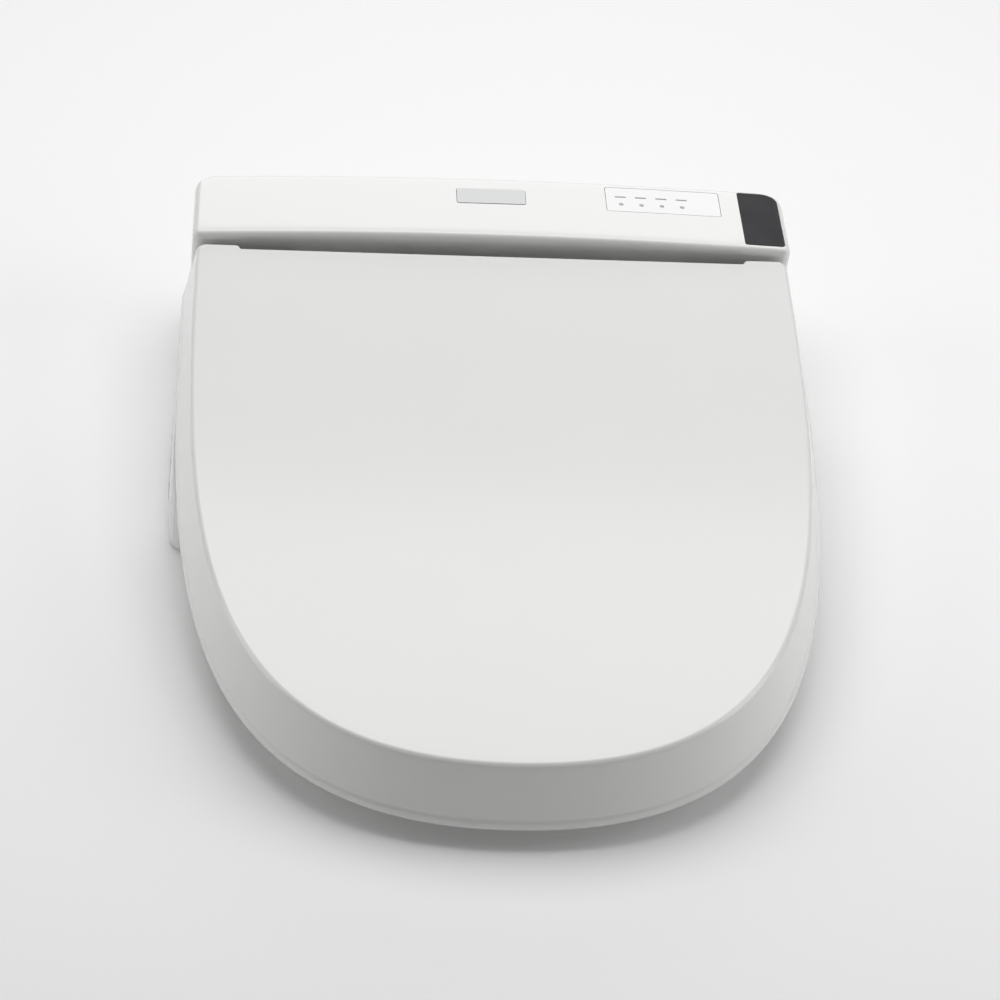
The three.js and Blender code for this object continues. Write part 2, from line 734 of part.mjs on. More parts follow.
function makeWand() {
  const { radius, bore, setBack, length, tip, travel } = wand;
  const endY = setBack + length;
  const body = cut(
    rod([0, setBack + tip + gap, 0], [0, endY, 0], radius, 24),
    rod([0, setBack + tip + 6, 0], [0, endY + 2, 0], bore, 16),
  );
  add("wand_tube", body, steel, wandFrame);
  const head = joined(
    rod([0, setBack + 2.5, 0], [0, setBack + tip, 0], radius, 24),
    rod([0, setBack, 0], [0, setBack + 2.5, 0], radius - 2.5, 24, radius),
  );
  const spray = rod([0, setBack + 9, radius - 1.5], [0, setBack + 9, radius + 2], 2.4, 12);
  add("nozzle_tip", cut(head, spray), innerPlastic, wandFrame);

  const half = gear.width / 2;
  const start = pinionY - 6;
  const end = pinionY + travel + 6;
  const teeth = [];
  const toothTop = pitchZ + gear.module;
  const rootHalf = pitch * 0.29;
  const tipHalf = pitch * 0.13;
  const first = Math.ceil((start - pinionY) / pitch);
  const last = Math.floor((end - pinionY) / pitch);
  for (let k = first; k < last; k++) {
    const y = pinionY + (k + 0.5) * pitch;
    teeth.push(
      barX(
        [
          [y - rootHalf, toothTop + 0.3],
          [y - rootHalf, toothTop],
          [y - tipHalf, pitchZ - gear.module * 0.8],
          [y + tipHalf, pitchZ - gear.module * 0.8],
          [y + rootHalf, toothTop],
          [y + rootHalf, toothTop + 0.3],
        ],
        -half,
        half,
      ),
    );
  }
  const back = box(-half, half, start, end, toothTop, rackTopZ);
  add("wand_rack", joined(back, ...teeth), innerPlastic, wandFrame);

  const profile = [];
  const tipAngle = 0.18;
  const rootAngle = 0.4;
  const step = (2 * Math.PI) / gear.teeth;
  const tipR = pitchRadius + gear.module * 0.8;
  const rootR = pitchRadius - gear.module * 1.15;
  for (let k = 0; k < gear.teeth; k++) {
    const middle = Math.PI / 2 + k * step;
    for (const [offset, r] of [
      [-rootAngle / 2 - 0.02, rootR],
      [-tipAngle / 2, tipR],
      [tipAngle / 2, tipR],
      [rootAngle / 2 + 0.02, rootR],
    ]) {
      profile.push([pinionY + r * Math.cos(middle + offset), pinionZ + r * Math.sin(middle + offset)]);
    }
  }
  const wheel = barX(profile, -half, half);
  const shaft = rod([-half - 4, pinionY, pinionZ], [half + 10, pinionY, pinionZ], 2.2, 14);
  add("drive_pinion", joined(wheel, shaft), innerPlastic, wandFrame);

  const motorX = half + 3;
  const motor = cut(
    joined(
      rod([motorX, pinionY, pinionZ], [motorX + 16, pinionY, pinionZ], 12, 24),
      box(motorX, motorX + 1.5, pinionY - 15.5, pinionY + 15.5, pinionZ - 4, pinionZ + 4),
    ),
    rod([motorX - 2, pinionY, pinionZ], [motorX + 8, pinionY, pinionZ], 2.2 + gap, 14),
  );
  add("wand_motor", motor, silver, wandFrame);

  const guideIn = radius + 0.8;
  const guideOut = guideIn + 2.2;
  const guideStart = setBack + 20;
  const guideEnd = setBack + 72;
  const channel = cut(
    box(-guideOut, guideOut, guideStart, guideEnd, -4, guideOut),
    box(-guideIn, guideIn, guideStart - 2, guideEnd + 2, -6, guideIn),
  );
  const floorAt = (y) => {
    const turn = wand.angle * degree;
    const trayTop = housing.bottomZ + tray.floor + 1;
    return (trayTop - wand.faceZ - y * Math.sin(turn)) / Math.cos(turn);
  };
  const legs = [];
  const legIn = motorX + 1.3; // inside the outer face of the motor's flange, which they stand beside
  const besideMotor = pinionY + 16;
  for (const [y, side] of [[guideStart, -1], [besideMotor, -1], [besideMotor, 1]]) {
    const x0 = Math.min(side * guideOut, side * legIn);
    legs.push(box(x0, x0 + guideOut - legIn, y, y + 7, floorAt(y + 7) + 3, -3));
  }
  add("wand_guide", joined(channel, ...legs), innerPlastic, wandFrame);

  const { thick, halfWidth, hingeZ, bottomZ, knuckle } = shutter;
  const flap = joined(
    box(-halfWidth, halfWidth, -thick - gap, -gap, bottomZ, hingeZ),
    barX(circle(-thick / 2 - gap - 0.5, hingeZ, knuckle, 12), -halfWidth, halfWidth),
  );
  const clearBack = box(-halfWidth - 1, halfWidth + 1, -gap, 5, hingeZ - 5, hingeZ + 5);
  add("nozzle_shutter", cut(flap, clearBack), whiteShell, wandFrame);

  const airFlap = joined(
    box(dryer.x0, dryer.x1, -thick - gap, -gap, dryer.z0, dryer.z1),
    barX(circle(-thick / 2 - gap - 0.5, dryer.z1, knuckle, 12), dryer.x0, dryer.x1),
  );
  const clearAir = box(dryer.x0 - 1, dryer.x1 + 1, -gap, 5, dryer.z1 - 5, dryer.z1 + 5);
  add("dryer_flap", cut(airFlap, clearAir), whiteShell, wandFrame);

  const ductIn = wall + gap;
  const duct = cut(
    box(dryer.x0, dryer.x1, ductIn, ductIn + 44, dryer.z0, dryer.z1 + 2),
    box(dryer.x0 + 1.6, dryer.x1 - 1.6, ductIn - 2, ductIn + 46, dryer.z0 + 1.6, dryer.z1 + 0.4),
  );
  add("dryer_duct", duct, innerPlastic, wandFrame);
  const bars = [];
  for (let k = 0; k < 5; k++) {
    const x = dryer.x0 + 6 + k * 6;
    bars.push(rod([x, ductIn + 24, dryer.z0 + 4], [x, ductIn + 24, dryer.z1 - 2], 0.9, 8));
  }
  const frame = box(dryer.x0 + 4, dryer.x1 - 4, ductIn + 22, ductIn + 26, dryer.z0 + 2.2, dryer.z0 + 4.4);
  add("dryer_heater", joined(frame, ...bars), copper, wandFrame);
}

// ---- tray under everything ----
function makeTray() {
  const { floor, lip, roomOverPlate } = tray;
  const z0 = housing.bottomZ;
  const inset = wall + gap;
  const rearY = housingRearY - inset;
  const frontY = deck.frontY + inset;
  const half = housing.halfWidth - inset - 1;
  const leftX = -wing.inX + inset + gap;
  const noseHalf = nose.halfWidth - inset;
  const noseFront = toFace(faceReach(z0 + lip))[0] + inset * 1.3 + 8;
  const corner = housing.rearCorner * 0.6;
  const outline = (shrink) => [
    new THREE.Vector2(leftX + corner + shrink, rearY - shrink),
    new THREE.Vector2(leftX + shrink, rearY - corner - shrink),
    new THREE.Vector2(leftX + shrink, frontY + shrink),
    new THREE.Vector2(-noseHalf + shrink, frontY + shrink),
    new THREE.Vector2(-noseHalf + shrink, noseFront + shrink),
    new THREE.Vector2(noseHalf - shrink, noseFront + shrink),
    new THREE.Vector2(noseHalf - shrink, frontY + shrink),
    new THREE.Vector2(half - shrink, frontY + shrink),
    new THREE.Vector2(half - shrink, rearY - corner - shrink),
    new THREE.Vector2(half - corner - shrink, rearY - shrink),
  ];
  const pan = cut(slab(outline(0), z0, z0 + lip), slab(outline(floor), z0 + floor, z0 + lip + 2));
  const roomZ = plate.thick + roomOverPlate;
  const roomX = plate.halfWidth + gap;
  const roomFront = housingRearY - plate.depth - 5;
  const hump = box(-roomX - floor, roomX + floor, roomFront - floor, rearY, z0, roomZ + floor);
  const room = box(-roomX, roomX, roomFront, rearY + 20, 0, roomZ);
  const slit = box(-6, 6, roomFront + 4, rearY - 12, roomZ - 2, roomZ + floor + 2);
  const wingFloor = slab(wingOutline(wall + gap), z0, z0 + floor);
  const neck = box(-wing.inX - wall - 2, leftX + 1, frontY + 1, coverRearY() - 6, z0, z0 + floor);
  const postX = housing.halfWidth - release.springEnd - 4;
  const post = box(postX, postX + 3, release.y - 13, release.y - 5, z0, release.z + 4);
  const wandWay = localBox(-13, 13, -9, 60, shutter.bottomZ + 1, 40);
  const airWay = localBox(dryer.x0 - gap, dryer.x1 + gap, -9, 60, dryer.z0 - gap, 40);
  const clearInlet = rod([inlet.x, rearY - 9, inlet.z], [inlet.x, rearY + 9, inlet.z], 14, 24);
  const clearGland = rod([gland.x, rearY - 9, gland.z], [gland.x, rearY + 9, gland.z], 8.4);
  const clearRelease = rod([half - 9, release.y, release.z], [half + 9, release.y, release.z], 8.4);
  const clearDrain = rod([leftX + 9, drain.y, drain.z], [leftX - 9, drain.y, drain.z], 12);
  const screwHoles = [-1, 1].map((side) => {
    const x = side * screw.x;
    return rod([x, screw.y, 0], [x, screw.y, 9], screw.shank + gap, 12);
  });
  const ways = [wandWay, airWay, clearInlet, clearGland, clearRelease, clearDrain];
  const whole = joined(pan, hump, wingFloor, neck, post);
  add("base_tray", cut(whole, room, slit, ...ways, ...screwHoles), innerPlastic);
  for (const [name, side] of [["base_pad_left", -1], ["base_pad_right", 1]]) {
    const x0 = Math.min(side * 104, side * 160);
    add(name, box(x0, x0 + 56, deck.frontY + 14, deck.frontY + 34, 0, z0 - gap), rubber);
  }
}

function makePlate() {
  const { halfWidth, depth, thick, boltSpacing, slotWidth, slotLength } = plate;
  const rear = housingRearY - 4;
  const body = box(-halfWidth, halfWidth, rear - depth, rear, 0, thick);
  const cuts = [];
  for (const side of [-1, 1]) {
    const x = (side * boltSpacing) / 2;
    const run = (slotLength - slotWidth) / 2;
    const slot = (width, z0, z1) =>
      joined(
        box(x - width / 2, x + width / 2, -run, run, z0, z1),
        rod([x, -run, z0], [x, -run, z1], width / 2, 16),
        rod([x, run, z0], [x, run, z1], width / 2, 16),
      );
    cuts.push(slot(slotWidth, -1, thick + 1), slot(slotWidth + 10, thick - 2.5, thick + 1));
  }
  const notch = box(-14, 14, rear - depth + 12, rear - depth + 20, thick - 3, thick + 1);
  add("mounting_plate", cut(body, ...cuts, notch), blackPlastic);
}

// ---- wing: side cover with the push-buttons ----
const wingTopZ = (x, y) => creaseZ(x, y) - lid.skirt - wing.belowLid;
const wingButtons = { y: [-128, -152, -176], z: 20, halfLength: 9, halfHeight: 6, travel: 1.2, proud: 1.3 };

function wingOutline(inset) {
  const { inX, rearX, outX, frontY, round } = wing;
  const points = [
    [-inX - inset, coverRearY() - inset],
    [-rearX + inset, coverRearY() - inset],
    [-rearX - 1 + inset, -80],
    [-outX + inset, -118],
    [-outX + inset, frontY + round],
  ].map(([x, y]) => new THREE.Vector2(x, y));
  for (let i = 1; i <= 5; i++) {
    const turn = (180 + i * 18) * degree;
    const across = outX - inX;
    const x = -inX + (across - inset) * Math.cos(turn) - inset * (i / 5);
    points.push(new THREE.Vector2(x, frontY + round + (round - inset) * Math.sin(turn)));
  }
  return points;
}

function makeWing() {
  const z0 = housing.bottomZ;
  const upTo = (below) => (x, y) => Math.min(wingTopZ(x, y), deck.shoulderZ) - below;
  const outer = loft([
    { outline: wingOutline(0), height: () => z0 },
    { outline: wingOutline(0), height: upTo(2) },
    { outline: wingOutline(1.2), height: upTo(0) },
  ]);
  const inner = loft([
    { outline: wingOutline(wall), height: () => z0 - 2 },
    { outline: wingOutline(wall), height: upTo(wall) },
  ]);
  const { y: places, z, halfLength, halfHeight, travel, proud } = wingButtons;
  const holes = places.map((y) =>
    box(
      -wing.outX - 3,
      -wing.outX + 6,
      y - halfLength - gap,
      y + halfLength + gap,
      z - halfHeight - gap,
      z + halfHeight + gap,
    ),
  );
  add("side_wing", cut(outer, inner, wingPassage(), ...holes), whiteShell);
  const names = ["button_rear_wash", "button_front_wash", "button_stop"];
  places.forEach((y, i) => {
    const cap = box(
      -wing.outX - proud,
      -wing.outX + wall + 1,
      y - halfLength,
      y + halfLength,
      z - halfHeight,
      z + halfHeight,
    );
    add(names[i], cap, frosted);
  });
  const boardX = -wing.outX + wall + 1 + travel + 2.4;
  const board = box(boardX, boardX + 1.6, places[2] - 14, places[0] + 14, z0 + tray.floor + gap, z + 11);
  const switches = places.map((y) => box(boardX - 2, boardX + 1, y - 3, y + 3, z - 3, z + 3));
  add("wing_switch_board", joined(board, ...switches), circuit);
}

// ---- what the main unit holds ----
function makeInternals() {
  const floorZ = housing.bottomZ + tray.floor + gap;
  const humpZ = plate.thick + tray.roomOverPlate + tray.floor + gap;

  for (const [name, side] of [["lid_damper", -1], ["seat_damper", 1]]) {
    const inX = side * (bossRange.inX + wall + gap);
    const outX = side * (deck.halfWidth - wall - gap);
    const radius = hinge.boss - bossRange.wall - gap;
    const shell = rod([inX, hinge.y, hinge.z], [outX, hinge.y, hinge.z], radius);
    const boreEnd = side * (deck.halfWidth - 32);
    add(
      name,
      cut(shell, rod([boreEnd, hinge.y, hinge.z], [outX + side, hinge.y, hinge.z], hinge.pin + gap)),
      blackPlastic,
    );
  }

  // Heated tank on the left of the deck, open at its top under a lid that carries the heater.
  const tank = { x0: -118, x1: -30, y0: deck.frontY + 6, y1: -34, top: 44, wall: 2.4 };
  const t = tank.wall;
  add(
    "water_tank",
    cut(
      box(tank.x0, tank.x1, tank.y0, tank.y1, floorZ, tank.top),
      box(tank.x0 + t, tank.x1 - t, tank.y0 + t, tank.y1 - t, floorZ + t, tank.top + 2),
    ),
    innerPlastic,
  );
  const lidHole = 4.6;
  const middleY = (tank.y0 + tank.y1) / 2;
  const heaterX = [tank.x0 + 24, tank.x1 - 24];
  const lidTop = tank.top + gap + 3;
  const statX = (heaterX[0] + heaterX[1]) / 2;
  const thermostat = rod([statX, middleY, lidTop - 1], [statX, middleY, lidTop + 6], 7, 16);
  add(
    "tank_lid",
    cut(
      joined(box(tank.x0, tank.x1, tank.y0, tank.y1, tank.top + gap, lidTop), thermostat),
      ...heaterX.map((x) => rod([x, middleY, tank.top], [x, middleY, lidTop + 2], lidHole, 14)),
    ),
    innerPlastic,
  );
  const legs = heaterX.map((x) => rod([x, middleY, 18], [x, middleY, lidTop + 4], lidHole - gap, 12));
  const cross = rod([heaterX[0], middleY, 20], [heaterX[1], middleY, 20], 3.4, 12);
  add("tank_heater", joined(...legs, cross), copper);

  // Water comes in at the rear left, through the inlet and the valve behind it.
  const stubEnd = housingRearY + 0.8;
  const stubStart = housingRearY - 24;
  const threads = [];
  for (let k = 0; k < 4; k++) {
    const y = stubEnd - 2.5 - k * 3;
    threads.push(rod([inlet.x, y - 1.2, inlet.z], [inlet.x, y, inlet.z], 10.5, 24));
  }
  const stub = cut(
    joined(
      rod([inlet.x, stubStart, inlet.z], [inlet.x, stubEnd, inlet.z], 9.6, 24),
      rod([inlet.x, stubStart, inlet.z], [inlet.x, stubStart + 5, inlet.z], 13, 24),
      ...threads,
    ),
    rod([inlet.x, stubStart + 4, inlet.z], [inlet.x, stubEnd + 2, inlet.z], 6, 20),
  );
  add("water_inlet", stub, steel);
  const valveRear = stubStart - gap;
  add(
    "solenoid_valve",
    joined(
      box(inlet.x - 14, inlet.x + 14, valveRear - 22, valveRear, inlet.z - 11, inlet.z + 11),
      rod([inlet.x, valveRear - 11, inlet.z + 8], [inlet.x, valveRear - 11, inlet.z + 38], 9.5, 18),
      box(inlet.x - 12, inlet.x + 12, valveRear - 23, valveRear + 1, inlet.z + 16, inlet.z + 30),
    ),
    blackPlastic,
  );
  const plugIn = -housing.halfWidth + 16;
  const knobOut = -housing.halfWidth - 2;
  add(
    "drain_plug",
    joined(
      rod([plugIn, drain.y, drain.z], [-housing.halfWidth + 4, drain.y, drain.z], 6, 18),
      rod([-housing.halfWidth + 4, drain.y, drain.z], [knobOut, drain.y, drain.z], 11, 24),
      box(knobOut - 4, knobOut + 1, drain.y - 8, drain.y + 8, drain.z - 1.6, drain.z + 1.6),
    ),
    innerPlastic,
  );

  const selectorY = -8;
  const selectorX = -42;
  add(
    "flow_selector",
    joined(
      rod([selectorX - 20, selectorY, 52], [selectorX + 18, selectorY, 52], 12, 20),
      box(selectorX - 12, selectorX - 4, selectorY - 4, selectorY + 4, humpZ + gap, 44),
    ),
    innerPlastic,
  );

  // Dryer blower at the right of the middle.
  const { blowerX, blowerR, blowerY, blowerZ } = dryer;
  const scroll = (grow, x0, x1) => {
    const y0 = blowerY - 21 - grow;
    const y1 = blowerY + 21 + grow;
    const z0 = blowerZ - blowerR - grow;
    return joined(
      barX(circle(blowerY, blowerZ, Math.min(blowerR, 21 + grow), 22), x0, x1),
      box(x0, x1, y0, blowerY, z0 + 4, blowerZ),
    ).intersect(box(x0, x1, y0, y1, z0, 200));
  };
  const blowerIn = blowerX - 15;
  const blowerOut = blowerX + 15;
  add(
    "dryer_blower",
    cut(
      scroll(0, blowerIn, blowerOut),
      barX(circle(blowerY, blowerZ, 17.5, 22), blowerIn + 2, blowerOut + 2),
    ),
    innerPlastic,
  );
  add("dryer_rotor", fanWheel(blowerIn + 4, blowerOut - 2, blowerY, blowerZ, 15.5), blackPlastic);

  // Deodoriser at the right end: fan box with a cartridge that slides out of the side.
  const { y0: doorY0, y1: doorY1, z0: doorZ0, z1: doorZ1 } = filterDoor;
  const box0 = housing.halfWidth - filterDoor.depth - 30;
  const fanX = box0 + 14;
  const fanY = (doorY0 + doorY1) / 2;
  const fanZ = (doorZ0 + doorZ1) / 2;
  add(
    "deodoriser_case",
    cut(
      box(box0, housing.halfWidth - 9, doorY0 - 2.4, doorY1 + 2.4, doorZ0 - 2.4, doorZ1 + 2.4),
      box(box0 + 27, housing.halfWidth, ...filterDoor.hole),
      barX(circle(fanY, fanZ, 12.5, 20), box0 + 3, box0 + 30),
    ),
    innerPlastic,
  );
  add("deodoriser_fan", fanWheel(box0 + 5, box0 + 22, fanY, fanZ, 11), blackPlastic);
  const cartridgeOut = housing.halfWidth + 2.5;
  const slots = [];
  for (let k = 0; k < 6; k++) {
    const x = fanX + 22 + k * 6;
    slots.push(box(x, x + 2.6, doorY0 - 1, doorY1 + 1, doorZ0 + 5, doorZ1 - 5));
  }
  add(
    "deodoriser_filter",
    cut(
      box(box0 + 29, cartridgeOut, doorY0, doorY1, doorZ0, doorZ1),
      ...slots,
      box(cartridgeOut - 1.6, cartridgeOut + 1, fanY - 9, fanY + 9, doorZ1 - 7, doorZ1 - 3),
    ),
    blackPlastic,
  );

  // Boards stand against the rear wall.
  const boardY = housingRearY - wall - 7;
  const chips = [
    box(-96, -80, boardY - 4, boardY + 0.5, 50, 64),
    box(-70, -62, boardY - 7, boardY + 0.5, 46, 54),
    box(-52, -30, boardY - 9, boardY + 0.5, 60, 66),
  ];
  add("control_board", joined(box(-118, -18, boardY, boardY + 1.6, 40, 90), ...chips), circuit);
  const powerX = 118;
  add(
    "power_board",
    joined(
      box(powerX - 8, powerX + 52, boardY, boardY + 1.6, 78, 92),
      box(powerX + 30, powerX + 44, boardY - 9, boardY + 0.5, 80, 90),
      box(powerX - 4, powerX + 18, boardY - 14, boardY + 0.5, 79, 91),
    ),
    circuit,
  );
  add(
    "power_cable_gland",
    cut(
      joined(
        rod([gland.x, housingRearY - 14, gland.z], [gland.x, housingRearY + 0.8, gland.z], 8, 20),
        rod([gland.x, housingRearY - 14, gland.z], [gland.x, housingRearY - 7, gland.z], 10.5, 20),
      ),
      rod([gland.x, housingRearY - 16, gland.z], [gland.x, housingRearY + 3, gland.z], 3.6, 14),
    ),
    blackPlastic,
  );
  // Two screws hold the front cover's shoulders down to the tray.
  for (const [name, side] of [["cover_screw_left", -1], ["cover_screw_right", 1]]) {
    const [x, y] = [side * screw.x, screw.y];
    const head = rod([x, y, housing.bottomZ - 2.6], [x, y, housing.bottomZ - gap], 4, 14);
    const shank = rod([x, y, housing.bottomZ - 1], [x, y, screw.topZ], screw.shank, 12);
    add(name, joined(head, shank), steel);
  }

  // Quick release: the button on the right drives a bar whose hook holds the mounting plate.
  const atSide = (out) => [housing.halfWidth + out, release.y, release.z];
  const button = joined(rod(atSide(-12), atSide(5), 8), rod(atSide(-14), atSide(-11), 10.5));
  add("release_button", button, whiteShell);
  const barEnd = housing.halfWidth - 14.4;
  const barZ = humpZ + gap;
  const springX = housing.halfWidth - release.springEnd;
  add(
    "release_bar",
    joined(
      box(16, barEnd, release.y - 3, release.y + 3, barZ, barZ + 3),
      box(barEnd - 3, barEnd, release.y - 14, release.y + 3, barZ, release.z + 4),
    ),
    steel,
  );
  add("release_spring", coil(springX, barEnd - 3.6, release.y - 9, release.z, 3.6, 0.6, 5), steel);
}

function fanWheel(x0, x1, y, z, radius) {
  const hub = rod([x0, y, z], [x1, y, z], radius * 0.28, 14);
  const back = rod([x0, y, z], [x0 + 1.4, y, z], radius, 20);
  const blades = [];
  for (let k = 0; k < 8; k++) {
    const turn = (k / 8) * 2 * Math.PI;
    const blade = new THREE.BoxGeometry(x1 - x0 - 1, 1.2, radius * 0.4);
    blade.translate((x0 + x1) / 2, 0, radius * 0.78).rotateX(turn);
    blades.push(solid(blade.translate(0, y, z)));
  }
  return joined(hub, back, ...blades);
}

class Helix extends THREE.Curve {
  constructor(x0, x1, y, z, radius, turns) {
    super();
    Object.assign(this, { x0, x1, y, z, radius, turns });
  }
  getPoint(t) {
    const turn = t * this.turns * 2 * Math.PI;
    return new THREE.Vector3(
      this.x0 + (this.x1 - this.x0) * t,
      this.y + this.radius * Math.cos(turn),
      this.z + this.radius * Math.sin(turn),
    );
  }
}

function coil(x0, x1, y, z, radius, wire, turns) {
  const section = new THREE.Shape();
  section.absarc(0, 0, wire, 0, 2 * Math.PI);
  return solid(
    new THREE.ExtrudeGeometry(section, {
      steps: turns * 8,
      curveSegments: 3,
      extrudePath: new Helix(x0, x1, y, z, radius, turns),
    }),
  );
}

makeLid();
makeSeat();
makeHousing();
makeFrontCover();
makeWand();
makeTray();
makePlate();
makeWing();
makeInternals();
model.add(wandFrame);

export default model;
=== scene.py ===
import json
import math

import bmesh
import bpy
from mathutils import Matrix, Vector


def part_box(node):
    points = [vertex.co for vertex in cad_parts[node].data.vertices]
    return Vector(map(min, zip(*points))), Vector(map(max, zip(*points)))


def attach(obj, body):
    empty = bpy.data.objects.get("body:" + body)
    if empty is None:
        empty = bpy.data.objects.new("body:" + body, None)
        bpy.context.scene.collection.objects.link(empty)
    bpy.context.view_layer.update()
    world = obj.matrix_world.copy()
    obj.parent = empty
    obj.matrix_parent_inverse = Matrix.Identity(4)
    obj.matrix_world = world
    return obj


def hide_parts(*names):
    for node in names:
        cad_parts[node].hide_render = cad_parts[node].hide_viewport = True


# an electric bidet seat: its looks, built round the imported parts; sizes below are in millimetres
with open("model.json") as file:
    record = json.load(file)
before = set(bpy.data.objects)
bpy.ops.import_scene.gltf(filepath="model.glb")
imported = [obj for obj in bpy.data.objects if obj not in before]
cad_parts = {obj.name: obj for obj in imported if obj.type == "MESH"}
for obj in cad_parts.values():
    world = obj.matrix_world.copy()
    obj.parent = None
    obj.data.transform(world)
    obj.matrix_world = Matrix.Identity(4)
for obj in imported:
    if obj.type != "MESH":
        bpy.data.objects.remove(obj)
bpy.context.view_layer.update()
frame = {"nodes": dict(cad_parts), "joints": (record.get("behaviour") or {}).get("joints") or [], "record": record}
mm = 0.001


def boxOf(node):
    low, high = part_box(node)
    return [v / mm for v in low], [v / mm for v in high]


# what every finish shares: the scales of its noises, which edges count as worn, the bump's depth
surfaceSize = {"toneScale": 14, "roughScale": 55, "wornFrom": 0.52, "wornTo": 0.60,
               "bumpDepth": 0.0002, "coatRough": 0.12, "brushStretch": 0.03}

# colour, roughness and how far both wander; grain is the fine bump; wear lightens the edges
finishSizes = {
    "shell": {"colour": (0.80, 0.80, 0.79), "rough": 0.25, "wander": 0.003, "grain": 0.004,
              "polish": 0.015, "fine": 700, "coat": 0.35, "wear": 0.02},
    "seat": {"colour": (0.80, 0.795, 0.775), "rough": 0.27, "wander": 0.003, "grain": 0.004,
             "polish": 0.015, "fine": 700, "coat": 0.3, "wear": 0.02},
    "inner_plastic": {"colour": (0.58, 0.58, 0.57), "rough": 0.5, "wander": 0.03, "grain": 0.08,
                      "fine": 1400, "wear": 0.05},
    "badge": {"colour": (0.66, 0.67, 0.67), "rough": 0.42, "wander": 0.02, "grain": 0.05,
              "fine": 700, "metal": 0.35, "brushed": True, "wear": 0.06},
    "clear_cover": {"colour": (0.80, 0.80, 0.81), "rough": 0.14, "wander": 0.008, "grain": 0.01,
                    "fine": 600, "coat": 0.6, "wear": 0.03},
    "dark_window": {"colour": (0.012, 0.010, 0.013), "rough": 0.5, "wander": 0.003,
                    "grain": 0.012, "fine": 500, "wear": 0.01, "shine": 0.3},
    "steel": {"colour": (0.55, 0.56, 0.57), "rough": 0.24, "wander": 0.04, "grain": 0.06,
              "fine": 900, "metal": 1.0, "brushed": True, "wear": 0.08},
    "motor": {"colour": (0.45, 0.46, 0.47), "rough": 0.34, "wander": 0.05, "grain": 0.05,
              "fine": 800, "metal": 0.9, "wear": 0.08},
    "rubber": {"colour": (0.21, 0.215, 0.215), "rough": 0.72, "wander": 0.03, "grain": 0.25,
               "fine": 1600, "wear": 0.05},
    "black_plastic": {"colour": (0.022, 0.022, 0.024), "rough": 0.48, "wander": 0.01,
                      "grain": 0.12, "fine": 1300, "wear": 0.03},
    "circuit": {"colour": (0.03, 0.14, 0.06), "rough": 0.38, "wander": 0.03, "grain": 0.1,
                "fine": 700, "coat": 0.3, "wear": 0.03},
    "heater": {"colour": (0.55, 0.27, 0.13), "rough": 0.34, "wander": 0.06, "grain": 0.06,
               "fine": 900, "metal": 0.95, "wear": 0.08},
    "print": {"colour": (0.26, 0.26, 0.27), "rough": 0.45, "wander": 0.02, "grain": 0.03,
              "fine": 900, "wear": 0.0},
    "lens": {"colour": (0.40, 0.41, 0.41), "rough": 0.2, "wander": 0.02, "grain": 0.02,
             "fine": 600, "coat": 0.5, "wear": 0.0},
}


def noiseAt(nodes, links, place, scale, detail=3):
    noise = nodes.new("ShaderNodeTexNoise")
    noise.inputs["Scale"].default_value = scale
    noise.inputs["Detail"].default_value = detail
    links.new(place, noise.inputs["Vector"])
    return noise.outputs["Fac"]


def spread(nodes, links, source, low, high):
    span = nodes.new("ShaderNodeMapRange")
    span.inputs["From Min"].default_value = 0.3
    span.inputs["From Max"].default_value = 0.7
    span.inputs["To Min"].default_value = low
    span.inputs["To Max"].default_value = high
    links.new(source, span.inputs["Value"])
    return span.outputs["Result"]


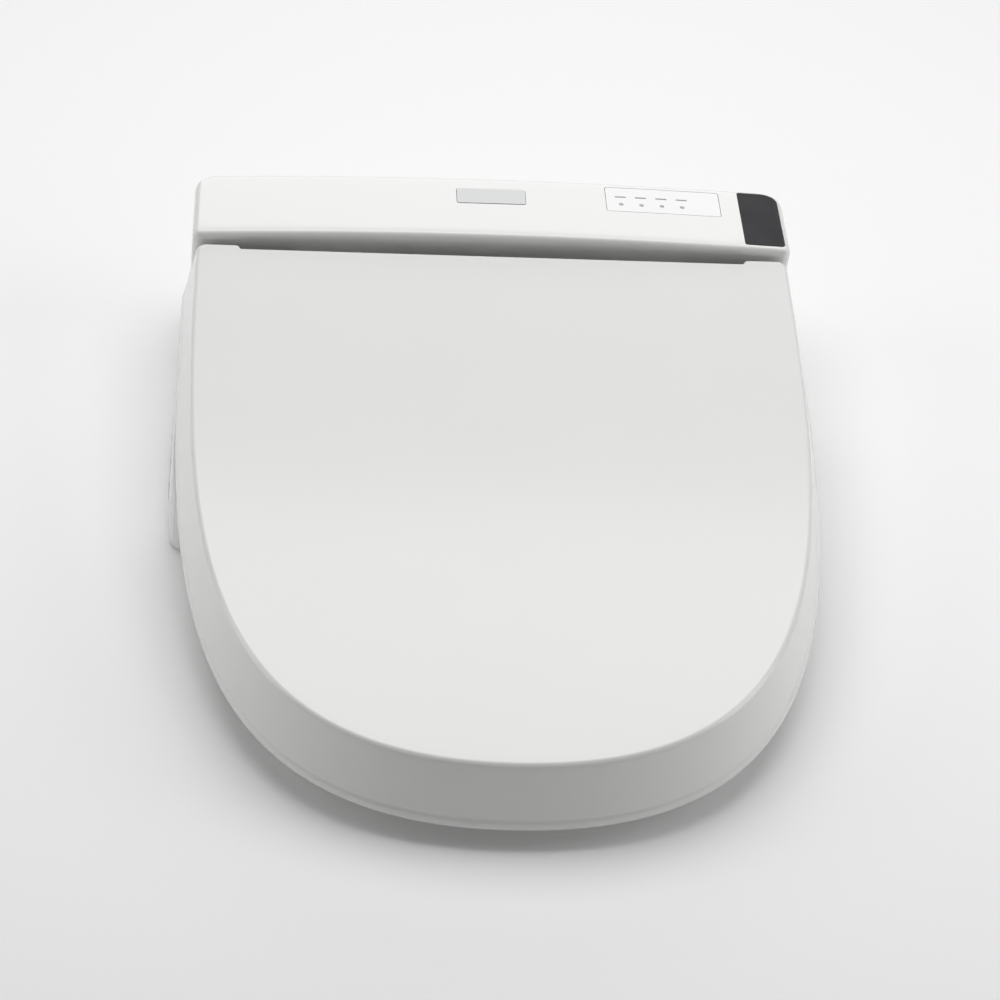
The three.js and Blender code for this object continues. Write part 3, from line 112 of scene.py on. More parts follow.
def makeFinish(name, size):
    material = bpy.data.materials.new(name)
    material.use_nodes = True
    nodes, links = material.node_tree.nodes, material.node_tree.links
    shader = nodes["Principled BSDF"]
    place = nodes.new("ShaderNodeTexCoord").outputs["Object"]
    if size.get("brushed"):
        mapping = nodes.new("ShaderNodeMapping")
        mapping.inputs["Scale"].default_value = (surfaceSize["brushStretch"], 1.0, 1.0)
        links.new(place, mapping.inputs["Vector"])
        place = mapping.outputs["Vector"]
    colour, wander = size["colour"], size["wander"]

    # broad, faint patches of tone, then a lighter touch where edges have been handled
    tone = nodes.new("ShaderNodeMix")
    tone.data_type = "RGBA"
    tone.inputs["A"].default_value = [max(0, c - wander) for c in colour] + [1]
    tone.inputs["B"].default_value = [min(1, c + wander) for c in colour] + [1]
    patches = noiseAt(nodes, links, place, surfaceSize["toneScale"], 4)
    links.new(spread(nodes, links, patches, 0, 1), tone.inputs["Factor"])
    worn = nodes.new("ShaderNodeMix")
    worn.data_type = "RGBA"
    worn.inputs["B"].default_value = [min(1, c + size["wear"]) for c in colour] + [1]
    links.new(tone.outputs["Result"], worn.inputs["A"])
    edges = nodes.new("ShaderNodeNewGeometry").outputs["Pointiness"]
    rub = nodes.new("ShaderNodeMapRange")
    rub.inputs["From Min"].default_value = surfaceSize["wornFrom"]
    rub.inputs["From Max"].default_value = surfaceSize["wornTo"]
    links.new(edges, rub.inputs["Value"])
    links.new(rub.outputs["Result"], worn.inputs["Factor"])
    links.new(worn.outputs["Result"], shader.inputs["Base Color"])

    # fingerprints and polish: a middling noise moves the roughness, a fine one the surface
    rough = size["rough"]
    prints = noiseAt(nodes, links, place, surfaceSize["roughScale"])
    polish = size.get("polish", 0.08)
    links.new(spread(nodes, links, prints, rough * (1 - polish), rough * (1 + polish)),
              shader.inputs["Roughness"])
    bump = nodes.new("ShaderNodeBump")
    bump.inputs["Strength"].default_value = size["grain"]
    bump.inputs["Distance"].default_value = surfaceSize["bumpDepth"]
    links.new(noiseAt(nodes, links, place, size["fine"]), bump.inputs["Height"])
    links.new(bump.outputs["Normal"], shader.inputs["Normal"])
    shader.inputs["Metallic"].default_value = size.get("metal", 0.0)
    shader.inputs["Coat Weight"].default_value = size.get("coat", 0.0)
    shader.inputs["Coat Roughness"].default_value = surfaceSize["coatRough"]
    shader.inputs["Specular IOR Level"].default_value = size.get("shine", 0.5)
    return material


finishes = {name: makeFinish(name, size) for name, size in finishSizes.items()}
print("finishes:", len(finishes))


def newPiece(name, points, faces, body, finish, nodes=(), sharp=38, bevel=0.0):
    mesh = bpy.data.meshes.new(name)
    mesh.from_pydata([[c * mm for c in p] for p in points], [], faces)
    work = bmesh.new()
    work.from_mesh(mesh)
    bmesh.ops.remove_doubles(work, verts=work.verts, dist=2e-6)
    bmesh.ops.dissolve_degenerate(work, edges=work.edges, dist=1e-6)
    bmesh.ops.recalc_face_normals(work, faces=work.faces)
    work.to_mesh(mesh)
    work.free()
    mesh.shade_smooth()
    mesh.set_sharp_from_angle(angle=math.radians(sharp))
    piece = bpy.data.objects.new(name, mesh)
    bpy.context.scene.collection.objects.link(piece)
    if body:
        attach(piece, body)
        mesh.materials.append(finishes[finish])
    if nodes:
        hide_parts(*nodes)
    if bevel:
        softEdges(piece, bevel)
    return piece


def softEdges(piece, width, segments=3, angle=32):
    bevel = piece.modifiers.new("softEdges", "BEVEL")
    bevel.width = width * mm
    bevel.segments = segments
    bevel.limit_method = "ANGLE"
    bevel.angle_limit = math.radians(angle)
    bevel.harden_normals = False


def skin(rings, loop=False):
    # a closed surface through rings of equal count, capped at both ends or joined end to end
    count = len(rings[0])
    points = [p for ring in rings for p in ring]
    faces = []
    for r in range(len(rings) - (0 if loop else 1)):
        a, b = r * count, ((r + 1) % len(rings)) * count
        for i in range(count):
            j = (i + 1) % count
            faces.append((a + i, a + j, b + j, b + i))
    if not loop:
        faces.append(tuple(range(count))[::-1])
        faces.append(tuple((len(rings) - 1) * count + i for i in range(count)))
    return points, faces


def barAlongX(profile, x0, x1):
    return skin([[(x, y, z) for y, z in profile] for x in (x0, x1)])


def cutAway(piece, tools):
    for tool in tools:
        change = piece.modifiers.new("cut", "BOOLEAN")
        change.operation = "DIFFERENCE"
        change.object = tool
        change.solver = "EXACT"
    bpy.context.view_layer.update()
    graph = bpy.context.evaluated_depsgraph_get()
    made = bpy.data.meshes.new_from_object(piece.evaluated_get(graph))
    piece.modifiers.clear()
    piece.data = made
    made.shade_smooth()
    made.set_sharp_from_angle(angle=math.radians(34))
    for tool in tools:
        bpy.data.objects.remove(tool)


def cutter(points, faces):
    return newPiece("cutter", points, faces, None, None)


def blockCutter(x0, x1, y0, y1, z0, z1):
    return cutter(*barAlongX([(y0, z0), (y1, z0), (y1, z1), (y0, z1)], x0, x1))


def turned(profile, start, direction, sides=48):
    # a lathe form: profile is (how far along, radius), closed on the axis at both ends
    along = Vector(direction).normalized()
    across = along.cross(Vector((1, 0, 0)) if abs(along.x) < 0.9 else Vector((0, 1, 0)))
    across.normalize()
    other = along.cross(across)
    rings = []
    for reach, radius in profile:
        middle = Vector(start) + along * reach
        ring = []
        for i in range(sides):
            turn = 2 * math.pi * i / sides
            ring.append(tuple(middle + (across * math.cos(turn) + other * math.sin(turn)) * radius))
        rings.append(ring)
    return skin(rings)


# the lid and the seat share one D-shaped plan
lidLow, lidHigh = boxOf("lid_cover")
lidSize = {
    "flare": 9.0, "skirt": 39.0, "slope": 0.1, "edge": 2.6, "wall": 3.0, "lip": 6.5,
    "corner": 6.0, "endStep": 3.5, "endFrom": 158.0, "stepRound": 3.0, "crown": 1.4,
    "sideReach": 267.0, "noseReach": 177.0, "bead": 0.35, "beadAt": 4.5, "insideFillet": 1.6,
    "tab": (158.6, 180.6), "tabRound": 7.3,
    # where the rings lie, as shares of the top, of the skirt and of the inner skin
    "crownRings": (0.02, 0.2, 0.4, 0.6, 0.75, 0.87, 0.95),
    "skirtRings": (0.12, 0.3, 0.5, 0.7, 0.84), "wallRings": (0.95, 0.6, 0.3, 0.0),
    "ceilingRings": (0.9, 0.5, 0.05),
}
lidHalf = lidHigh[0] - lidSize["flare"] - 0.4
lidFrontY = lidLow[1] + lidSize["flare"]
lidEndY = lidHigh[1]
lidRearY = lidEndY - lidSize["endStep"]
creaseFrontZ = lidLow[2] + lidSize["skirt"] + lidSize["slope"] * lidSize["flare"]


def creaseZ(y):
    return creaseFrontZ + lidSize["slope"] * (y - lidFrontY)


def sidePoint(t):
    # the side runs from the rear corner at t 0 round to the middle of the nose at t 1
    corners = ((lidHalf, lidRearY), (lidHalf + 3, lidRearY - lidSize["sideReach"]),
               (lidSize["noseReach"], lidFrontY), (0.0, lidFrontY))
    weights = ((1 - t) ** 3, 3 * t * (1 - t) ** 2, 3 * t * t * (1 - t), t ** 3)
    return tuple(sum(w * c[k] for w, c in zip(weights, corners)) for k in (0, 1))


def withNormals(plan):
    made = []
    for i, point in enumerate(plan):
        before, after = plan[i - 1], plan[(i + 1) % len(plan)]
        dx, dy = after[0] - before[0], after[1] - before[1]
        run = math.hypot(dx, dy) or 1.0
        made.append((point[0], point[1], dy / run, -dx / run) + tuple(point[2:]))
    return made


def mirrored(right):
    # right half from the nose to the middle of the rear, then the left half back again
    left = [(-p[0],) + tuple(p[1:]) for p in right[::-1] if p[0] > 1e-6]
    return right + left


def dPlan(rearY, corner, steps=90, rearSteps=24):
    firstT = max(0.0, (lidRearY - rearY + corner) / (3 * lidSize["sideReach"]))
    right = [sidePoint(1 - (1 - firstT) * k / steps) for k in range(steps + 1)]
    endX = right[-1][0]
    for k in range(1, 9):
        turn = math.radians(90 * k / 8)
        right.append((endX - corner + corner * math.cos(turn),
                      rearY - corner + corner * math.sin(turn)))
    for k in range(1, rearSteps + 1):
        right.append(((endX - corner) * (1 - k / rearSteps), rearY))
    return withNormals(mirrored(right))


def lidPlan():
    # outer edge with its two end tabs; the last two numbers are the flare's and skirt's share
    size = lidSize
    corner, stepRound = size["corner"], size["stepRound"]
    firstT = corner / (3 * size["sideReach"])
    right = [sidePoint(1 - (1 - firstT) * k / 110) + (1.0, 1.0) for k in range(111)]
    endX = right[-1][0]
    for k in range(1, 11):
        turn = math.radians(90 * k / 10)
        x = endX - corner + corner * math.cos(turn)
        y = lidEndY - corner + corner * math.sin(turn)
        deep = 1.0 if k < 8 else 0.0
        right.append((x, y, math.cos(turn), deep))
    for k in range(1, 7):
        x = endX - corner - (endX - corner - size["endFrom"] - stepRound) * k / 6
        right.append((x, lidEndY, 0.0, 0.0))
    for k in range(1, 7):
        turn = math.radians(90 + 90 * k / 6)
        x = size["endFrom"] + stepRound + stepRound * math.cos(turn)
        right.append((x, lidEndY - stepRound + stepRound * math.sin(turn), 0.0, 0.0))
    for k in range(1, 41):
        right.append(((size["endFrom"] - 0.5) * (1 - (k - 1) / 39), lidRearY, 0.0, 0.0))
    return withNormals(mirrored(right))


def makeLid():
    size = lidSize
    plan = lidPlan()
    edge, wall, skirt = size["edge"], size["wall"], size["skirt"]
    lipRound = wall / 2
    middleY = (lidFrontY + lidRearY) / 2

    def ring(offset, belowOf):
        made = []
        for x, y, nx, ny, flare, deep in plan:
            depth = size["lip"] + (skirt - size["lip"]) * deep
            below = belowOf(depth)
            grow = offset + size["flare"] * below / skirt * flare
            px, py = x + nx * grow, y + ny * grow
            made.append((px, py, creaseZ(py) - below))
        return made

    def shrunk(share, lift):
        made = []
        for x, y, nx, ny, flare, deep in plan:
            px = x * share
            py = middleY + (min(y, lidRearY) - middleY) * share
            made.append((px, py, creaseZ(py) + lift))
        return made

    rings = []
    for share in size["crownRings"]:
        rings.append(shrunk(share, size["crown"] * (1 - share ** 2) - 0.1))
    for k in range(0, 9):
        turn = math.radians(90 * k / 8)
        rings.append(ring(-edge + edge * math.sin(turn),
                          lambda d, t=turn: edge * (1 - math.cos(t))))
    for share in size["skirtRings"]:
        rings.append(ring(0, lambda d, s=share: edge + (d - edge - lipRound) * s))
    beadFrom = 1 - size["beadAt"] / skirt
    for share, out in ((beadFrom, 0.0), (beadFrom + 0.015, size["bead"]), (1.0, size["bead"])):
        rings.append(ring(out, lambda d, s=share: edge + (d - edge - lipRound) * s))
    for k in range(1, 7):
        turn = math.radians(180 * k / 6)
        out = -lipRound + lipRound * math.cos(turn)
        rings.append(ring(out, lambda d, t=turn: d - lipRound + lipRound * math.sin(t)))

    # the inner skin stops short of the end tabs, so its own plan has a plain rear
    insideY = lidRearY - wall - 0.2
    inside = []
    for x, y, nx, ny, flare, deep in plan:
        keep = flare >= 0.999
        px, py = (x - nx * wall, y - ny * wall) if keep else (x, insideY)
        px = max(-lidHalf + wall, min(lidHalf - wall, px))
        nx, ny = (nx, ny) if keep else (0.0, 1.0)
        inside.append((px, min(py, insideY), nx, ny, flare, deep))

    def insideRing(offset, belowOf):
        made = []
        for x, y, nx, ny, flare, deep in inside:
            depth = size["lip"] + (skirt - size["lip"]) * deep
            below = belowOf(depth)
            grow = offset + (size["flare"] * below / skirt if flare >= 0.999 else 0.0)
            px, py = x + nx * grow, y + ny * grow
            made.append((px, py, creaseZ(py) - below))
        return made

    fillet = size["insideFillet"]
    ceiling = wall + fillet
    for share in size["wallRings"]:
        rings.append(insideRing(0, lambda d, s=share: ceiling
                                + (max(d - lipRound, ceiling) - ceiling) * s))
    for k in range(1, 5):
        turn = math.radians(90 * k / 4)
        rings.append(insideRing(-fillet * (1 - math.cos(turn)),
                                lambda d, t=turn: wall + fillet - fillet * math.sin(t)))
    for share in size["ceilingRings"]:
        made = []
        for x, y, z in insideRing(0, lambda d: wall):
            px, py = x * share, middleY + (y - middleY) * share
            made.append((px, py, creaseZ(py) - wall))
        rings.append(made)
    points, faces = skin(rings)
    newPiece("lidShell", points, faces, "lid", "shell", ["lid_cover"], sharp=50)

    # hinge tabs under the two raised ends
    pinY, pinZ = hingeAt
    for name, side in (("lidTabLeft", -1), ("lidTabRight", 1)):
        r = size["tabRound"]
        profile = [(pinY + r * math.cos(a), pinZ + r * math.sin(a))
                   for a in [math.radians(k * 15) for k in range(-12, 2)]]
        profile += [(lidEndY - 1.5, creaseZ(lidRearY) - 7),
                    (lidEndY - 1.5, creaseZ(lidRearY) - 3.2)]
        profile += [(pinY - 10, creaseZ(pinY) - 3.4), (pinY - 10, creaseZ(pinY) - 6)]
        points, faces = barAlongX(profile, *[side * x for x in size["tab"]])
        newPiece(name, points, faces, "lid", "shell", sharp=30, bevel=0.6)
    print("lid")


hingeJoint = [j for j in frame["joints"] if j["name"] == "seat_hinge"][0]
hingeAt = (hingeJoint["pos_m"][1] / mm, hingeJoint["pos_m"][2] / mm)
makeLid()

linerSize = {"inset": 14.0, "top": 3.5, "depth": 4.9, "edge": 3.0, "dishIn": 16.0, "dish": 1.1,
             "corner": 16.0, "bumperNose": ((0, 0.01), (0, 4.4), (0.6, 5.6), (1.6, 6.2)),
             "bumperRoot": 6.7}


def makeLiner():
    size = linerSize
    rearY = boxOf("lid_liner")[1][1]
    plan = dPlan(rearY, size["corner"])
    base = size["inset"]

    def ring(offset, below):
        made = []
        for x, y, nx, ny in plan:
            rear = ny > 0.7 and y > rearY - 1.5
            grow = offset if rear else offset - base
            px, py = x + nx * grow, y + (offset if rear else ny * grow)
            made.append((px, py, creaseZ(py) - below))
        return made

    bottom = size["top"] + size["depth"]
    rings = [ring(-8, size["top"]), ring(-0.2, size["top"]), ring(0, size["top"] + 0.2)]
    for k in range(0, 7):
        turn = math.radians(90 * k / 6)
        edge = size["edge"]
        rings.append(ring(-edge + edge * math.cos(turn), bottom - edge + edge * math.sin(turn)))
    rings.append(ring(-size["dishIn"] + 5, bottom))
    for k in range(0, 6):
        share = k / 5
        fall = size["dish"] * (1 - math.cos(math.pi * share)) / 2
        rings.append(ring(-size["dishIn"] + 5 - 5 * share, bottom - fall))
    points, faces = skin(rings)
    newPiece("lidLiner", points, faces, "lid", "shell", ["lid_liner"], sharp=50)
    for node in ("lid_bumper_left", "lid_bumper_right"):
        low, high = boxOf(node)
        middle = [(a + b) / 2 for a, b in zip(low, high)]
        tall = high[2] - low[2]
        profile = list(size["bumperNose"])
        profile += [(tall - 1.2, size["bumperRoot"]), (tall - 0.9, 0.01)]
        points, faces = turned(profile, (middle[0], middle[1], low[2]), (0, 0, 1))
        newPiece(node.replace("lid_bumper_", "lidBumper_"), points, faces, "lid", "rubber", [node])
    print("lid liner and bumpers")


makeLiner()

seatSize = {
    "inset": 8.0, "underLid": 17.0, "split": 12.0, "gap": 0.4, "bottomZ": 9.0, "corner": 14.0,
    "outerEdge": 6.0, "holeEdge": 15.0, "holeDrop": 6.5, "holeHalf": 108.0, "holeRearY": -152.0,
    "holeFrontY": -404.0, "power": 2.4, "stations": 220, "bridge": 16.5, "noseRoom": 103.0,
    "bottomEdge": 4.0, "earRound": 7.0, "ear": (132.0, 150.0),
    "footNose": ((0, 0.01), (0, 6.2), (0.5, 7.4), (1.5, 8.0)), "footRoot": 9.4,
}


def seatTopZ(y):
    return creaseZ(y) - seatSize["underLid"]


def seatStations():
    # pairs of points, on the hole and on the rim, on rays from the middle of the hole
    size = seatSize
    rearY = boxOf("seat_top")[1][1]
    rim = [(x + nx * -size["inset"], y + (0 if y > rearY - 0.5 else ny * -size["inset"]))
           for x, y, nx, ny in dPlan(rearY, size["corner"], 160, 60)]
    middleY = (size["holeRearY"] + size["holeFrontY"]) / 2
    halfY = (size["holeRearY"] - size["holeFrontY"]) / 2
    made = []
    for i in range(size["stations"]):
        turn = 2 * math.pi * (i + 0.5) / size["stations"]
        bend = lambda v: math.copysign(abs(v) ** (2 / size["power"]), v)
        hx, hy = size["holeHalf"] * bend(math.cos(turn)), halfY * bend(math.sin(turn))
        angle = math.atan2(hy, hx)
        dx, dy = math.cos(angle), math.sin(angle)
        best = None
        for j, (ax, ay) in enumerate(rim):
            bx, by = rim[(j + 1) % len(rim)]
            ex, ey = bx - ax, by - ay
            det = ex * dy - ey * dx
            if abs(det) < 1e-9:
                continue
            fx, fy = -ax, middleY - ay
            s = (fx * dy - fy * dx) / det
            if -1e-6 <= s <= 1 + 1e-6:
                px, py = ax + ex * s, ay + ey * s
                reach = px * dx + (py - middleY) * dy
                if reach > 0 and (best is None or reach < best[0]):
                    best = (reach, px, py)
        made.append(((hx, middleY + hy), (best[1], best[2])))
    return made


def makeSeat():
    size = seatSize
    stations = seatStations()

    def ring(fromRim, inward, depthOf):
        # fromRim 1 starts at the rim and goes inward, 0 starts at the hole and goes outward
        made = []
        for (hx, hy), (rx, ry) in stations:
            span = math.hypot(hx - rx, hy - ry)
            ux, uy = (hx - rx) / span, (hy - ry) / span
            if fromRim:
                px, py = rx + ux * inward, ry + uy * inward
            else:
                px, py = hx - ux * inward, hy - uy * inward
            made.append((px, py, depthOf(py)))
        return made

    def below(depth):
        return lambda y: seatTopZ(y) - depth

    split, edge = size["split"], size["outerEdge"]
    rings = [ring(1, 0, below(split)), ring(1, 0, below(edge + 1))]
    for k in range(0, 9):
        turn = math.radians(90 * k / 8)
        rings.append(ring(1, edge - edge * math.cos(turn), below(edge - edge * math.sin(turn))))
    rings.append(ring(1, edge + 4, below(0)))
    wide, drop = size["holeEdge"], size["holeDrop"]
    rings.append(ring(0, wide + 3, below(0)))
    for k in range(0, 11):
        turn = math.radians(90 * k / 10)
        rings.append(ring(0, wide - wide * math.sin(turn), below(drop - drop * math.cos(turn))))
    rings.append(ring(0, 0, below(split)))
    points, faces = skin(rings, loop=True)
    newPiece("seatUpper", points, faces, "seat", "seat", ["seat_top", "seat_heater"], sharp=50)

    upper = below(split + size["gap"])
    floorZ, under = size["bottomZ"], size["bottomEdge"]
    rings = [ring(1, 0.25, upper), ring(1, 0.0, below(split + size["gap"] + 0.4))]
    for k in range(0, 7):
        turn = math.radians(90 * k / 6)
        rings.append(ring(1, under - under * math.cos(turn),
                          lambda y, t=turn: floorZ + under - under * math.sin(t)))
    for k in range(0, 7):
        turn = math.radians(90 * k / 6)
        rings.append(ring(0, under - under * math.sin(turn),
                          lambda y, t=turn: floorZ + under - under * math.cos(t)))
    rings.append(ring(0, 0, below(split + size["gap"] + 0.4)))
    rings.append(ring(0, 0.25, upper))
    points, faces = skin(rings, loop=True)
    lower = newPiece("seatLower", points, faces, "seat", "seat", ["seat_bottom"], sharp=50)
    # room for the unit's nose under the rear bridge
    rearY = boxOf("seat_top")[1][1]
    cutFrom, cutTo = size["holeRearY"] - 50, rearY + 10
    corners = [(cutFrom, -5), (cutTo, -5), (cutTo, seatTopZ(cutTo) - size["bridge"]),
               (cutFrom, seatTopZ(cutFrom) - size["bridge"])]
    cutAway(lower, [cutter(*barAlongX(corners, -size["noseRoom"], size["noseRoom"]))])
    softEdges(lower, 0.8, 3, 50)

    # two ears carry the ring on the hinge axis
    pinY, pinZ = hingeAt
    root = seatTopZ(rearY) - split - size["gap"]
    foot = seatTopZ(rearY) - size["bridge"] + 1
    r = size["earRound"]
    for name, side in (("seatEarLeft", -1), ("seatEarRight", 1)):
        knuckle = [(pinY + r * math.cos(math.radians(a)), pinZ + r * math.sin(math.radians(a)))
                   for a in range(-70, 131, 20)]
        profile = [(rearY - 12, foot), (rearY + 6, foot)] + knuckle
        profile += [(rearY + 8, root + 2), (rearY + 0.8, root), (rearY - 12, root - 1.4)]
        points, faces = barAlongX(profile, *[side * x for x in size["ear"]])
        newPiece(name, points, faces, "seat", "seat", sharp=30, bevel=0.9)

    for node in ("seat_bumper_rear_left", "seat_bumper_rear_right", "seat_bumper_front_left",
                 "seat_bumper_front_right"):
        low, high = boxOf(node)
        middle = [(a + b) / 2 for a, b in zip(low, high)]
        wide = size["footRoot"]
        profile = list(size["footNose"])
        profile += [(high[2] - 0.2, wide), (high[2], wide - 0.1), (high[2], 0.01)]
        points, faces = turned(profile, (middle[0], middle[1], 0), (0, 0, 1))
        name = "seatFoot_" + node.replace("seat_bumper_", "")
        newPiece(name, points, faces, "seat", "rubber", [node])
    print("seat")


makeSeat()

housingSize = {
    "frontY": -27.5, "depth": 68.5, "half": 188.0, "draft": 4.0, "crown": 4.5, "edge": 3.4,
    "frontCorner": 5.0, "rearCorner": 15.0, "endRound": 4.0, "bottomZ": 3.0, "undercut": 7.0,
    "undercutZ": 84.0, "wall": 2.6, "lean": 0.6, "gap": 0.4,
    "rearLean": ((0.3, 70.0), (0.9, 40.0)), "rearFoot": 1.5,
    # openings: half width and top; inner x, outer x and top; radii by the piece they clear
    "coverOpening": (123.4, 68.4), "rearOpening": (94.0, 11.9),
    "cornerOpening": (176.0, 199.0, 22.0),
    "sideHoles": {"release_button": 8.4, "drain_plug": 11.4}, "sideHolesFrom": 178.0,
    "rearHoles": {"water_inlet": 14.0, "power_cable_gland": 8.4}, "filterFrom": 180.0,
}
topZ = boxOf("rear_housing")[1][2] - housingSize["crown"]


def crownZ(x):
    return topZ + housingSize["crown"] * (1 - (x / housingSize["half"]) ** 2)


def roundIn(u, half, radius):
    over = max(0.0, min(radius, u - (half - radius)))
    return radius - math.sqrt(max(0.0, radius * radius - over * over))


def housingProfile(x, inset, half):
    size = housingSize
    u = abs(x)
    front = size["frontY"] + inset + roundIn(u, half, max(1.0, size["frontCorner"] - inset))
    rear = size["frontY"] + size["depth"] - inset
    rear -= roundIn(u, half, max(1.0, size["rearCorner"] - inset))
    top = crownZ(min(u, size["half"])) - inset
    top -= roundIn(u, half, max(0.8, size["endRound"] - inset))
    edge = max(1.0, size["edge"] - inset)
    low, lean = size["bottomZ"], size["lean"]
    foot = front + size["undercut"]
    profile = [(foot, low), (foot, 30), (foot, 60), (foot, size["undercutZ"] - 2)]
    for k in range(1, 6):
        share = k / 5
        z = size["undercutZ"] + (top - edge - size["undercutZ"]) * share
        profile.append((foot + (front + lean - foot) * share ** 0.9, z))
    for k in range(1, 8):
        turn = math.radians(90 * k / 7)
        profile.append((front + lean + (edge - lean) * (1 - math.cos(turn)),
                        top - edge + edge * math.sin(turn)))
    for k in range(1, 12):
        profile.append((front + edge + (rear - front - 2 * edge) * k / 12, top))
    for k in range(0, 8):
        turn = math.radians(90 * (1 - k / 7))
        profile.append((rear - edge + edge * math.cos(turn), top - edge + edge * math.sin(turn)))
    profile += [(rear + out, z) for out, z in size["rearLean"]]
    profile.append((rear + size["rearFoot"], low))
    made = []
    for y, z in profile:
        outward = size["draft"] * (1 - z / topZ) * (u / half) ** 6
        made.append((math.copysign(u + outward, x) if u > 1e-6 else 0.0, y, z))
    return made


def housingStations(half):
    size = housingSize
    us = {0.0}
    for radius in (size["rearCorner"], size["frontCorner"], size["endRound"]):
        us |= {round(half - radius + radius * math.sin(math.radians(90 * k / 7)), 3)
               for k in range(8)}
    us |= {round((half - size["rearCorner"]) * k / 24, 3) for k in range(25)}
    kept = []
    for u in sorted(us):
        if not kept or u - kept[-1] > 0.08 or u == half:
            kept.append(u)
    return [-u for u in kept[::-1] if u > 0] + kept


def makeHousing():
    size = housingSize
    half, wall = size["half"], size["wall"]
    outer = [housingProfile(x, 0.0, half) for x in housingStations(half)]
    inner = [housingProfile(x, wall, half - wall) for x in housingStations(half - wall)]
    points, faces, starts = [], [], []
    assert len(outer) == len(inner), "the two skins need the same number of stations"
    steps, count = len(outer), len(outer[0])
    for rows, flip in ((outer, False), (inner, True)):
        start = len(points)
        starts.append(start)
        for row in rows:
            points += row
        for i in range(steps - 1):
            for j in range(count - 1):
                a = start + i * count + j
                face = (a, a + 1, a + count + 1, a + count)
                faces.append(face[::-1] if flip else face)
        first = [start + j for j in range(count)]
        last = [start + (steps - 1) * count + j for j in range(count)]
        faces.append(tuple(first))
        faces.append(tuple(last[::-1]))
    # the lower rim joins the two skins
    a0, b0 = starts
    for j in (0, count - 1):
        for i in range(steps - 1):
            faces.append((a0 + i * count + j, a0 + (i + 1) * count + j,
                          b0 + (i + 1) * count + j, b0 + i * count + j))
    for i in (0, steps - 1):
        faces.append((a0 + i * count, a0 + i * count + count - 1,
                      b0 + i * count + count - 1, b0 + i * count))
    housing = newPiece("rearHousing", points, faces, "main_unit", "shell", ["rear_housing"],
                       sharp=34)

    frontFrom, frontTo = size["frontY"] - 3, size["frontY"] + 12
    rearY = size["frontY"] + size["depth"]
    coverHalf, coverTop = size["coverOpening"]
    rearHalf, rearTop = size["rearOpening"]
    cornerIn, cornerOut, cornerTop = size["cornerOpening"]
    gap = size["gap"]
    tools = [
        blockCutter(-coverHalf, coverHalf, frontFrom, frontTo, -2, coverTop),
        blockCutter(-rearHalf, rearHalf, rearY - 9, rearY + 9, -3, rearTop),
        blockCutter(-cornerOut, -cornerIn, frontFrom, frontTo, -2, cornerTop),
        blockCutter(cornerIn, cornerOut, frontFrom, frontTo, -2, cornerTop),
    ]
    for node, radius in size["sideHoles"].items():
        low, high = boxOf(node)
        middleY, middleZ = (low[1] + high[1]) / 2, (low[2] + high[2]) / 2
        side = 1 if high[0] > 0 else -1
        tools.append(cutter(*turned([(0, radius), (26, radius)],
                                    (side * size["sideHolesFrom"], middleY, middleZ),
                                    (side, 0, 0), 40)))
    for node, radius in size["rearHoles"].items():
        low, high = boxOf(node)
        middleX, middleZ = (low[0] + high[0]) / 2, (low[2] + high[2]) / 2
        tools.append(cutter(*turned([(0, radius), (16, radius)],
                                    (middleX, rearY - 8, middleZ), (0, 1, 0), 48)))
    low, high = boxOf("deodoriser_filter")
    tools.append(blockCutter(size["filterFrom"], 199, low[1] - gap, high[1] + gap,
                             low[2] - gap, high[2] + gap))
    for place in topPanels.values():
        tools.append(cutter(*topPlate(plateBox(place["node"]), gap, -1.5, 9, place["corners"])))
    cutAway(housing, tools)
    print("rear housing")


def cornered(x, place, grow, corners):
    # front and rear edge at x of a plate whose four corners have their own radius
    x0, x1, y0, y1 = place[0] - grow, place[1] + grow, place[2] - grow, place[3] + grow
    frontLeft, frontRight, rearRight, rearLeft = [r + grow for r in corners]

    def inset(radius, over):
        over = max(0.0, min(radius, over))
        return radius - math.sqrt(max(0.0, radius * radius - over * over))

    front = y0 + inset(frontLeft, x0 + frontLeft - x) + inset(frontRight, x - (x1 - frontRight))
    rear = y1 - inset(rearLeft, x0 + rearLeft - x) - inset(rearRight, x - (x1 - rearRight))
    return front, rear


def topPlate(place, grow, low, high, corners, across=6):
    # a plate that follows the housing's crown, from low to high above it
    x0, x1 = place[0] - grow, place[1] + grow
    xs = {x0, x1}
    for radius in corners:
        for k in range(7):
            step = (radius + grow) * (1 - math.cos(math.radians(90 * k / 6)))
            xs |= {round(x0 + step, 3), round(x1 - step, 3)}
    xs |= {x0 + (x1 - x0) * k / 10 for k in range(11)}
    kept = []
    for x in sorted(xs):
        if not kept or x - kept[-1] > 0.05 or x == x1:
            kept.append(x)
    rings = []
    for x in kept:
        front, rear = cornered(x, place, grow, corners)
        ys = [front + (rear - front) * k / across for k in range(across + 1)]
        rings.append([(x, y, crownZ(x) + high) for y in ys]
                     + [(x, y, crownZ(x) + low) for y in ys[::-1]])
    return skin(rings)


def plateBox(node):
    low, high = boxOf(node)
    return (low[0], high[0], low[1], high[1])


# corner radii run front left, front right, rear right, rear left
topPanels = {
    "badge": {"node": "badge_plate", "finish": "badge", "high": 0.35,
              "corners": (1.6, 1.6, 1.6, 1.6)},
    "indicator": {"node": "indicator_window", "finish": "clear_cover", "high": 0.0,
                  "corners": (1.5, 1.5, 1.5, 1.5)},
    "receiver": {"node": "receiver_window", "finish": "dark_window", "high": 0.1,
                 "corners": (1.5, 2.5, 10.0, 1.5)},
}


